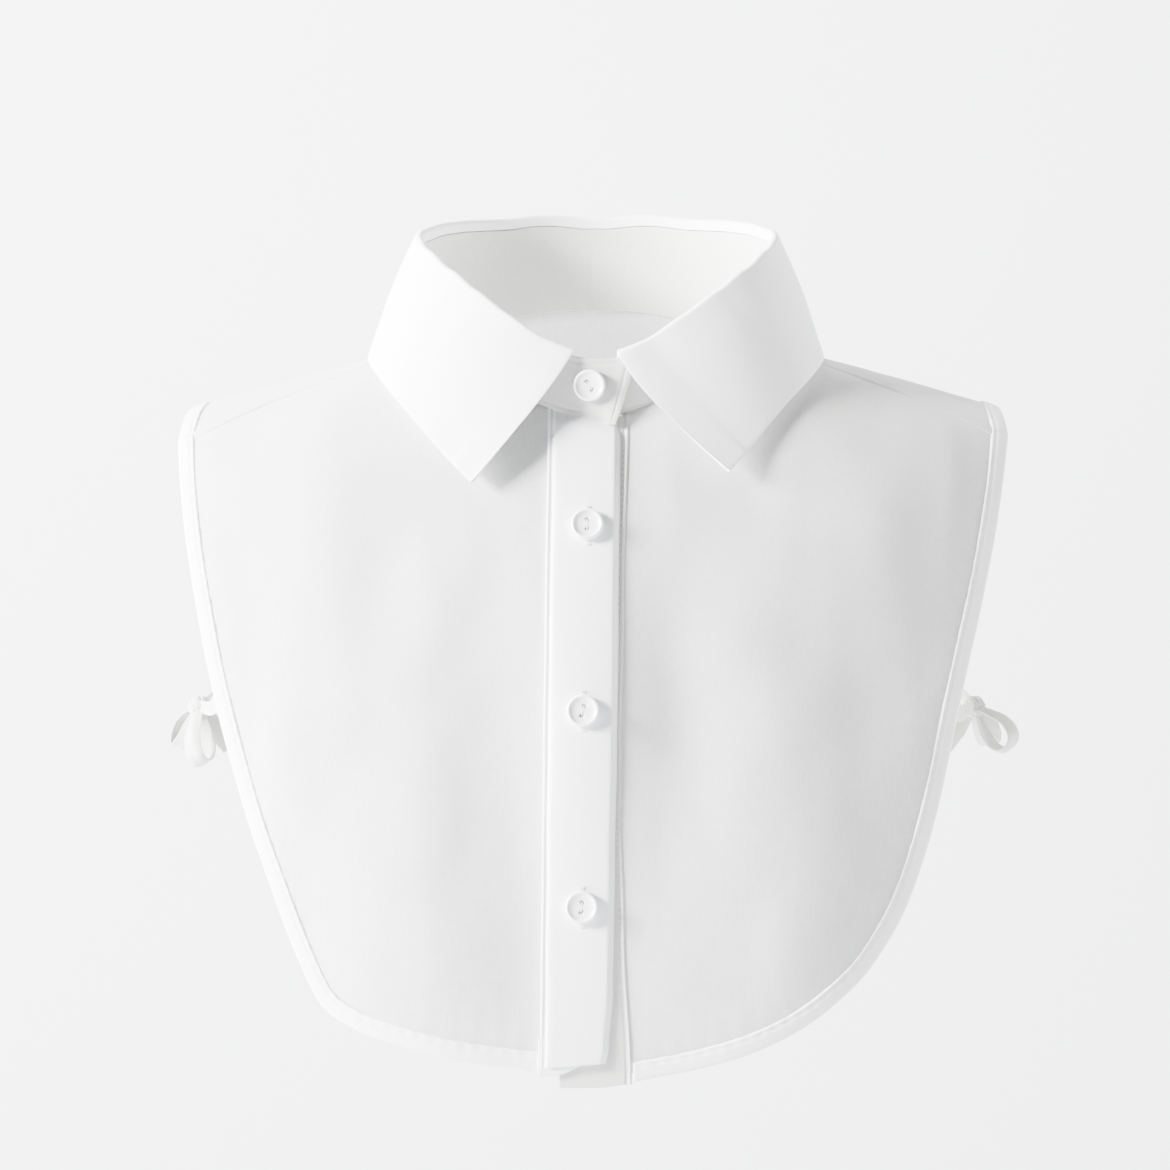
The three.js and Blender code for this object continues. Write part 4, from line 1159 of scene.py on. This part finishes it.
def collar_stand():
    last = 2 * math.pi + tab_end_angle
    around = np.concatenate([
        spaced_round(-under_end_angle, 0.4, 0.012), spaced_round(0.42, 5.86, 0.024),
        spaced_round(5.88, last - 0.05, 0.01), spaced_round(last - 0.045, last, 0.0045)])
    grid = stand_points(around, np.linspace(0, 1, 41))
    normals = grid_normals(grid)
    normals *= np.sign(np.sum(normals * unit(grid * [1, 1, 0]), axis=2))[..., None]
    from_end = (last - around) * NECK_FRONT
    height = np.linalg.norm(grid - grid[:1], axis=2)
    from_top = height[-1:] - height
    foot = STAND_LINE - 0.1
    seam_line = -0.3 * np.exp(-((height - foot) / 0.4) ** 2)
    top_line = -0.28 * np.exp(-((from_top - STAND_LINE) / 0.4) ** 2) * (from_end < 34)
    end_line = -0.28 * np.exp(-((from_end - STAND_LINE) / 0.4) ** 2)
    end_line = end_line * (height > foot) * (from_top > STAND_LINE)
    pillow = 0.3 * np.exp(-((from_end - 11) / 7) ** 2) * np.sin(math.pi * height / height[-1:])
    over = STAND_PLY / 2 + seam_line + top_line + end_line + pillow
    outer = grid + normals * over[..., None]
    bm = cloth_wall(outer, grid - normals * STAND_PLY / 2, None, 0.25)
    # The stand's greyer cloth is painted shade: the leaf's shadow on the tab and the shade inside
    # the collar.
    piece = finished(bm, "stand", "crisp_cloth", stand_cloth_painted_shade, "collar_stand")


# Collar leaf: up from the stand, over the roll and down to its edge

leaf_edge_share = curve(LEAF_TABLE, 1)
leaf_out_share = curve(LEAF_TABLE, 2)


def leaf_edge(around):
    tab_side = around > math.pi
    start = np.where(tab_side, right_start_angle, left_start_angle)
    tip = np.where(tab_side, RIGHT_TIP_ANGLE, LEFT_TIP_ANGLE) * DEGREE
    way = (from_front(around) - start) / (math.pi - start)
    angle = mix(tip, math.pi, leaf_edge_share(way))
    reach = np.where(tab_side, LEAF_REACH_RIGHT, LEAF_REACH_LEFT)
    radius = neck_radius(angle) + mix(LEAF_REACH_BACK, reach, leaf_out_share(way))
    x = np.where(tab_side, -1, 1) * radius * np.sin(angle)
    places = np.stack([x, turn_at_depth(x, -radius * np.cos(angle))], axis=-1)
    lift = LEAF_TIP_LIFT * np.exp(-way / LEAF_TIP_LIFT_WAY)
    return on_cloth(places, (PANEL_WALL + LEAF_PLY) / 2 + LEAF_REST + lift)


def collar_leaf():
    share = np.linspace(0, 1, 301)
    eased = share - 0.15 * np.sin(2 * math.pi * share) / (2 * math.pi)
    around = mix(left_start_angle, 2 * math.pi - right_start_angle, eased)
    _, out, seam, _ = stand_seam(around)
    top = stand_points(around, [1])[0]
    roll = roll_at(around)
    fold_z = seam[:, 2] + fold_height(from_front(around)) - LEAF_PLY / 2 - roll
    edge = leaf_edge(around)
    centre = top + out * roll[:, None]
    centre[:, 2] = fold_z
    fall = edge - (centre + out * roll[:, None])
    flare = np.arctan2(np.maximum(0, np.sum(fall * out, axis=1)), -fall[:, 2])
    up = np.array([0, 0, 1.0])
    rows = [top + up * GAP]
    for turn_share in np.linspace(0, 1, 13):
        turn = mix(math.pi, flare, turn_share)
        outwards, upwards = roll * np.cos(turn), roll * np.sin(turn)
        rows.append(centre + out * outwards[:, None] + up * upwards[:, None])
    rows.insert(1, mix(rows[0], rows[1], 0.5))
    begin = rows[-1]
    bulge = out * np.cos(flare)[:, None] + up * np.sin(flare)[:, None]
    for down in np.linspace(0, 1, 33)[1:]:
        rows.append(mix(begin, edge, down) + bulge * LEAF_BULGE * math.sin(math.pi * down))
    grid = np.stack(rows)
    fallen = np.clip((np.arange(len(rows)) - 14) / 33, 0, 1)
    swell = np.sin(math.pi * fallen ** 0.75)[:, None]
    for end, step, bow in ((0, 6, LEAF_BOW_LEFT), (-1, -7, LEAF_BOW_RIGHT)):
        away = np.linalg.norm(grid - grid[:, [end]], axis=2)
        outwards = unit(grid[:, [end]] - grid[:, [step]])
        grid = grid + outwards * (bow * swell * np.exp(-(away / 16) ** 2))[..., None]
    normals = grid_normals(grid)
    normals *= np.sign(np.sum(normals[-8] * unit(grid[-8] * [1, 1, 0])))
    from_edge, from_start, from_end, from_fold = (np.linalg.norm(grid - line, axis=2) for line in (
        grid[-1:], grid[:, :1], grid[:, -1:], grid[7:8]))
    from_rim = np.minimum(from_edge, np.minimum(from_start, from_end))
    turned_in = 0.03 * smooth((LEAF_TURN_IN - from_rim) / 1.5)
    uneven = crumple(grid, 30, 0.4, 11) * smooth(from_edge / 10) * smooth((from_fold - 5) / 14)
    over = LEAF_PLY / 2 + turned_in + uneven
    outer = grid + normals * over[..., None]
    for end, step in ((0, 2), (-1, -3)):
        corner = unit(outer[-3, end] - outer[-1, end]) + unit(outer[-1, step] - outer[-1, end])
        outer[-1, end] += corner * 0.5
    under = outer - normals * LEAF_PLY
    under[:, 0] += unit(outer[:, 4] - outer[:, 0]) * ROLLED_UNDER
    under[:, -1] += unit(outer[:, -5] - outer[:, -1]) * ROLLED_UNDER
    under[-1] += unit(outer[-5] - outer[-1]) * ROLLED_UNDER
    bm = cloth_wall(outer, under, None, 0.5)
    piece = finished(bm, "leaf", "crisp_cloth", crisp_cloth, "collar_leaf")


# Buttons

def turned(profile, steps):
    """A solid turned about Z from a profile of radius and height."""
    bm = bmesh.new()
    verts = [bm.verts.new((r * MM, 0, h * MM)) for r, h in profile]
    edges = [bm.edges.new(pair) for pair in zip(verts, verts[1:])]
    bmesh.ops.spin(bm, geom=verts + edges, cent=(0, 0, 0), axis=(0, 0, 1), angle=2 * math.pi,
                   steps=steps, use_merge=True)
    bmesh.ops.remove_doubles(bm, verts=bm.verts[:], dist=1e-7)
    bmesh.ops.recalc_face_normals(bm, faces=bm.faces[:])
    return bm


def arc(centre_r, centre_h, radius, first, last, steps):
    angles = np.linspace(first * DEGREE, last * DEGREE, steps + 1)
    return [(centre_r + radius * math.cos(a), centre_h + radius * math.sin(a)) for a in angles]


def button_body():
    radius = BUTTON_DIAMETER / 2
    high = BUTTON_THICKNESS
    bed = high - BUTTON_DISH
    rim = BUTTON_RIM / 2
    profile = [(0, 0), (radius - BUTTON_EDGE, 0)]
    profile += arc(radius - BUTTON_EDGE, BUTTON_EDGE, BUTTON_EDGE, -75, 0, 4)
    profile += arc(radius - rim, high - rim, rim, 0, 150, 12)
    profile += [(radius - 1.9 * BUTTON_RIM, bed + 0.12), (radius - 2.3 * BUTTON_RIM, bed)]
    profile += [(BUTTON_HOLE_APART * 0.3, bed), (0, bed)]
    return turned(profile, 64)


def bored_button():
    """The button's mesh with its two holes cut through."""
    blank = made_up(button_body(), "button_blank")
    bits = bmesh.new()
    for side in (-1, 1):
        place = Matrix.Translation((side * BUTTON_HOLE_APART / 2 * MM, 0, 0))
        bmesh.ops.create_cone(bits, cap_ends=True, segments=20, radius1=BUTTON_HOLE / 2 * MM,
                              radius2=BUTTON_HOLE / 2 * MM, depth=4 * BUTTON_THICKNESS * MM,
                              matrix=place)
    drill = made_up(bits, "button_drill")
    cut = blank.modifiers.new("holes", "BOOLEAN")
    cut.operation = "DIFFERENCE"
    cut.solver = "EXACT"
    cut.object = drill
    graph = bpy.context.evaluated_depsgraph_get()
    bored = bpy.data.meshes.new_from_object(blank.evaluated_get(graph))
    for obj in (blank, drill):
        bpy.data.objects.remove(obj)
    return bored


button_mesh = bored_button()


def sew_button(name, seat, normal, turn, node_name):
    """seat is the middle of the button's back, in millimetres."""
    up = Vector(normal).normalized()
    side = Vector((0, 0, 1)).cross(up).normalized() * -1
    basis = Matrix((side, up.cross(side), up)).transposed().to_4x4()
    place = (Matrix.Translation(Vector(seat) * MM) @ basis @ Matrix.Rotation(turn * DEGREE, 4, "Z"))
    bm = bmesh.new()
    bm.from_mesh(button_mesh)
    bmesh.ops.transform(bm, matrix=place, verts=bm.verts[:])
    finished(bm, name, "button_plastic", button_pearl, node_name)
    strands = bmesh.new()
    half = BUTTON_HOLE_APART / 2
    bed = BUTTON_THICKNESS - BUTTON_DISH
    for offset in (-0.13, 0.13):
        for step in np.linspace(-1, 1, 9):
            sag = 0.04 + 0.4 * (abs(step) > 0.8)
            centre = Matrix.Translation((half * step * MM, offset * MM, (bed - sag) * MM))
            size = Matrix.Diagonal((0.42 * MM, 0.13 * MM, 0.14 * MM, 1))
            bmesh.ops.create_icosphere(strands, subdivisions=1, radius=1.0,
                                       matrix=place @ centre @ size)
    for end in (-1, 1):
        post = Matrix.Translation((end * half * 0.94 * MM, 0, bed / 2 * 0.9 * MM))
        bmesh.ops.create_cone(strands, cap_ends=True, segments=8, radius1=0.32 * MM,
                              radius2=0.32 * MM, depth=(bed + 0.3) * MM, matrix=place @ post)
    shank = Matrix.Translation((0, 0, -0.2 * MM))
    bmesh.ops.create_cone(strands, cap_ends=True, segments=12, radius1=1.5 * MM,
                          radius2=1.4 * MM, depth=1.0 * MM, matrix=place @ shank)
    finished(strands, f"{name}_thread", "button_plastic", white_thread)


def buttonhole(bm, seat, normal, along, length, lip=0.8):
    """Two rows of satin stitches along a slit, with a bar across each end."""
    seat, normal = np.asarray(seat, float), unit(np.asarray(normal, float))
    along = unit(np.asarray(along, float) - normal * np.dot(along, normal))
    aside = np.cross(normal, along)
    for side in (-1, 1):
        offset = seat + aside * side * lip * 0.55
        bar_run(bm, offset - along * length / 2, offset + along * length / 2, normal, lip)
    for end in (-1, 1):
        tip = seat + along * end * length / 2
        bar_run(bm, tip - aside * lip, tip + aside * lip, normal, lip)


def sew_buttons():
    holes = bmesh.new()
    around = 2 * math.pi - COLLAR_BUTTON_ACROSS / NECK_HALF_WIDTH
    patch = stand_points(np.array([around - 0.05, around, around + 0.05]),
                         [COLLAR_BUTTON_UP - 0.1, COLLAR_BUTTON_UP, COLLAR_BUTTON_UP + 0.1])
    normal = unit(np.cross(patch[1, 2] - patch[1, 0], patch[2, 1] - patch[0, 1]))
    seat = patch[1, 1] + normal * (STAND_PLY / 2 + SEAM_GAP)
    sew_button("collar_button", seat, normal, COLLAR_BUTTON_TURN, "button_collar")
    for i, (across, down, turn) in enumerate(BUTTON_TABLE):
        x = np.array([across * PLACKET_LEFT])
        z = -down * FRONT_DROP
        z = on_cloth(np.stack([x, turn_at_height(x, z)], axis=-1))[:, 2]
        over = PLACKET_OVER + PLACKET_WALL / 2 + GAP + 0.1
        points, normals = front_surface(x, z, over)
        sew_button(f"front_button_{i + 1}", points[0], normals[0], turn, f"button_front_{i + 1}")
        cloth = points[0] + normals[0] * 0.12
        buttonhole(holes, cloth, normals[0], (0, 0, 1), BUTTON_DIAMETER + 2.6)
    finished(holes, "buttonholes", "crisp_cloth", white_thread)


# Ties

def ribbon_wall(name, points, across, widths, node_name, steps, cup=0.5):
    """A ribbon along points, its width along across, slightly cupped."""
    path = flowing(points, steps)
    sides = flowing(across, steps)
    way = unit(np.gradient(path, axis=0))
    sides = unit(sides - way * np.sum(sides * way, axis=1)[:, None])
    half = np.interp(np.linspace(0, 1, steps + 1), np.linspace(0, 1, len(widths)), widths) / 2
    up = unit(np.cross(sides, way))
    rows = []
    for s in np.linspace(-1, 1, 17):
        crease = cup * (1 - s * s) * (1 + 0.5 * np.sin(np.linspace(0, 9, steps + 1) + 2 * s))
        rows.append(path + sides * (half * s)[:, None] + up * (crease - cup / 2)[:, None])
    grid = np.stack(rows)
    grid = grid + grid_normals(grid) * crumple(grid, 4.5, 0.35, len(name))[..., None]
    half_wall = grid_normals(grid) * (RIBBON_PLY / 2)
    bm = cloth_wall(grid + half_wall, grid - half_wall, None, 0.15)
    # The ribbon's grey cloth is painted shade.
    finished(bm, name, "ribbon_cloth", ribbon_cloth, node_name)


def knot_centre(side):
    knot_in = KNOT_IN_LEFT if side > 0 else KNOT_IN_RIGHT
    return np.array([side * (BIB_HALF_WIDTH - knot_in), -KNOT_FORWARD, -KNOT_DROP], float)


def tie_strap(side, edge, heart, name, node_name):
    points = on_cloth(edge)
    ahead = np.where(np.sign(edge[:, 0]) == side, np.abs(points[:, 2] + TIE_DROP), 1e9)
    at = int(np.argmin(ahead))
    along = unit(points[at + 1] - points[at - 1])
    if along[2] > 0:
        along = -along
    under_by = (BINDING_WALL + RIBBON_WALL) / 2 + SEAM_GAP + GAP
    near = edge[at - 1:at + 2]

    def under(inset):
        place = shifted(near, inset, heart)[1:2]
        return on_cloth(place, -under_by)[0]

    knot = knot_centre(side)
    edge_point = under(0)
    end = knot + unit(edge_point - knot) * (KNOT_RADIUS * 0.6)
    middle = mix(edge_point, end, 0.5) + along * TIE_SAG
    down = np.array([0, 0, -1.0])
    widths = [RIBBON_WIDTH, RIBBON_WIDTH * 0.9, RIBBON_WIDTH * 0.7, PINCHED_WIDTH]
    ribbon_wall(name, [under(TIE_TUCK), edge_point, middle, end], [along, along, down, down],
                widths, node_name, 60)


def knot_frame(side, angle, splay, twist):
    """The way out of the knot, the ribbon's width and the way its two runs part."""
    along = unit(np.array([side * splay, math.sin(angle * DEGREE), -math.cos(angle * DEGREE)]))
    back = unit(np.cross([1, 0, 0], along))
    level = np.cross(along, back)
    turn = side * twist * DEGREE
    across = level * math.cos(turn) + back * math.sin(turn)
    return along, across, np.cross(across, along), knot_centre(side) + along * KNOT_RADIUS * 0.6


def tie_loop(side, angle, splay, twist, name, node_name):
    along, across, apart, start = knot_frame(side, angle, splay, twist)
    length = LOOP_LENGTH_LEFT if side > 0 else LOOP_LENGTH_RIGHT
    height = LOOP_HEIGHT_LEFT if side > 0 else LOOP_HEIGHT_RIGHT
    points = [start + along * (a * length + KNOT_RADIUS * 0.4) + apart * (b * height)
              for a, b in LOOP_TABLE]
    points[0] = start + apart * (LOOP_TABLE[0][1] * height)
    points[-1] = start + apart * (LOOP_TABLE[-1][1] * height)
    shares = np.array([0.9, 1, 1.02, 1, 1, 1, 0.9])
    widths = [PINCHED_WIDTH, *(RIBBON_WIDTH * shares), PINCHED_WIDTH]
    ribbon_wall(name, points, [across] * len(points), widths, node_name, 120, 1.0)


def tie_tail(side, angle, name, node_name):
    along, across, apart, start = knot_frame(side, angle, TAIL_SPLAY, 0)
    length = TAIL_LENGTH + KNOT_RADIUS * 0.4
    points = [start + along * (share * length) + apart * share ** 2 * TAIL_CURL
              for share in (0, 0.5, 1)]
    ribbon_wall(name, points, [across] * 3,
                [PINCHED_WIDTH, RIBBON_WIDTH, RIBBON_WIDTH], node_name, 40)


def tie_knot(side, name, node_name):
    """A knot of ribbon: a ball drawn in by three crossing wraps."""
    bm = bmesh.new()
    bmesh.ops.create_icosphere(bm, subdivisions=5, radius=1.0)
    wraps = [Vector(w).normalized() for w in ((0.2, 1, 0.3), (0.9, 0.1, 0.4), (0.1, 0.5, -0.9))]
    for vert in bm.verts:
        p = vert.co.normalized()
        groove = sum(math.exp(-((abs(p.dot(w)) - 0.42) / 0.07) ** 2) for w in wraps)
        fine = 0.03 * math.sin(26 * p.dot(Vector((0.3, 0.8, 0.5))))
        vert.co = p * KNOT_RADIUS * (1.02 - 0.13 * groove + fine) * MM
    cut = bm.loops.layers.uv.new("cut")
    for face in bm.faces:
        for loop in face.loops:
            loop[cut].uv = (loop.vert.co.x + loop.vert.co.y, loop.vert.co.z)
    bmesh.ops.translate(bm, verts=bm.verts[:], vec=Vector(knot_centre(side)) * MM)
    finished(bm, name, "ribbon_cloth", ribbon_cloth, node_name)


def tie_bow(side):
    hand = "left" if side > 0 else "right"
    splay = LOOP_SPLAY_LEFT if side > 0 else LOOP_SPLAY_RIGHT
    for edge, heart, half in (
            (front_edge[side], CHEST_HEART, "front"), (back_edge, BACK_HEART, "back")):
        tie_strap(side, edge, heart, f"strap_{half}_{hand}", f"tie_{half}_strap_{hand}")
    tie_knot(side, f"knot_{hand}", f"tie_knot_{hand}")
    for turn, out, twist, half in (
            (FRONT_LOOP_TURN, splay, LOOP_TWIST, "front"),
            (BACK_LOOP_TURN, BACK_LOOP_SPLAY, 0, "back")):
        tie_loop(side, turn, out, twist, f"{half}_loop_{hand}", f"tie_{half}_loop_{hand}")
    for turn, half in ((FRONT_TAIL_TURN, "front"), (BACK_TAIL_TURN, "back")):
        tie_tail(side, turn, f"{half}_tail_{hand}", f"tie_{half}_tail_{hand}")


# Stitched lines

def edge_stitches():
    bm = bmesh.new()
    line = BINDING_WIDTH - BINDING_LINE
    runs = [at_shares(front_inset(side, line), np.linspace(0.003, 0.995, 500)) for side in (-1, 1)]
    runs.append(at_shares(back_inset(line), np.linspace(0, 1, 900)))
    for run in runs:
        thread_run(bm, on_cloth(run, BINDING_WALL / 2 * 0.95 - 0.36),
                   drape_normal(run[:, 0], run[:, 1]), FINE_THREAD)
    finished(bm, "binding_stitches", "binding_cloth", white_thread)


def placket_stitches():
    bm = bmesh.new()
    z = np.linspace(-36, -FRONT_DROP + 1.5, 400)
    for x, over in (
            (placket_left_x(z) + PLACKET_LINE, PLACKET_OVER + PLACKET_WALL / 2 - 1.0),
            (under_right_x(z) - UNDER_LINE, UNDER_OVER - 0.2)):
        points, normals = front_surface(x, z, over)
        thread_run(bm, points, normals)
    finished(bm, "placket_stitches", "crisp_cloth", white_thread)


front_panel(-1)
front_panel(1)
back_panel()
shoulder_seam(-1)
shoulder_seam(1)
for side, hand in ((-1, "right"), (1, "left")):
    binding(f"edge_front_{hand}", lambda d: front_inset(side, d), 420, f"binding_front_{hand}")
binding("edge_back", back_inset, 620, "binding_back")
top_placket()
placket_hem()
under_placket()
collar_stand()
collar_leaf()
sew_buttons()
tie_bow(-1)
tie_bow(1)
edge_stitches()
placket_stitches()
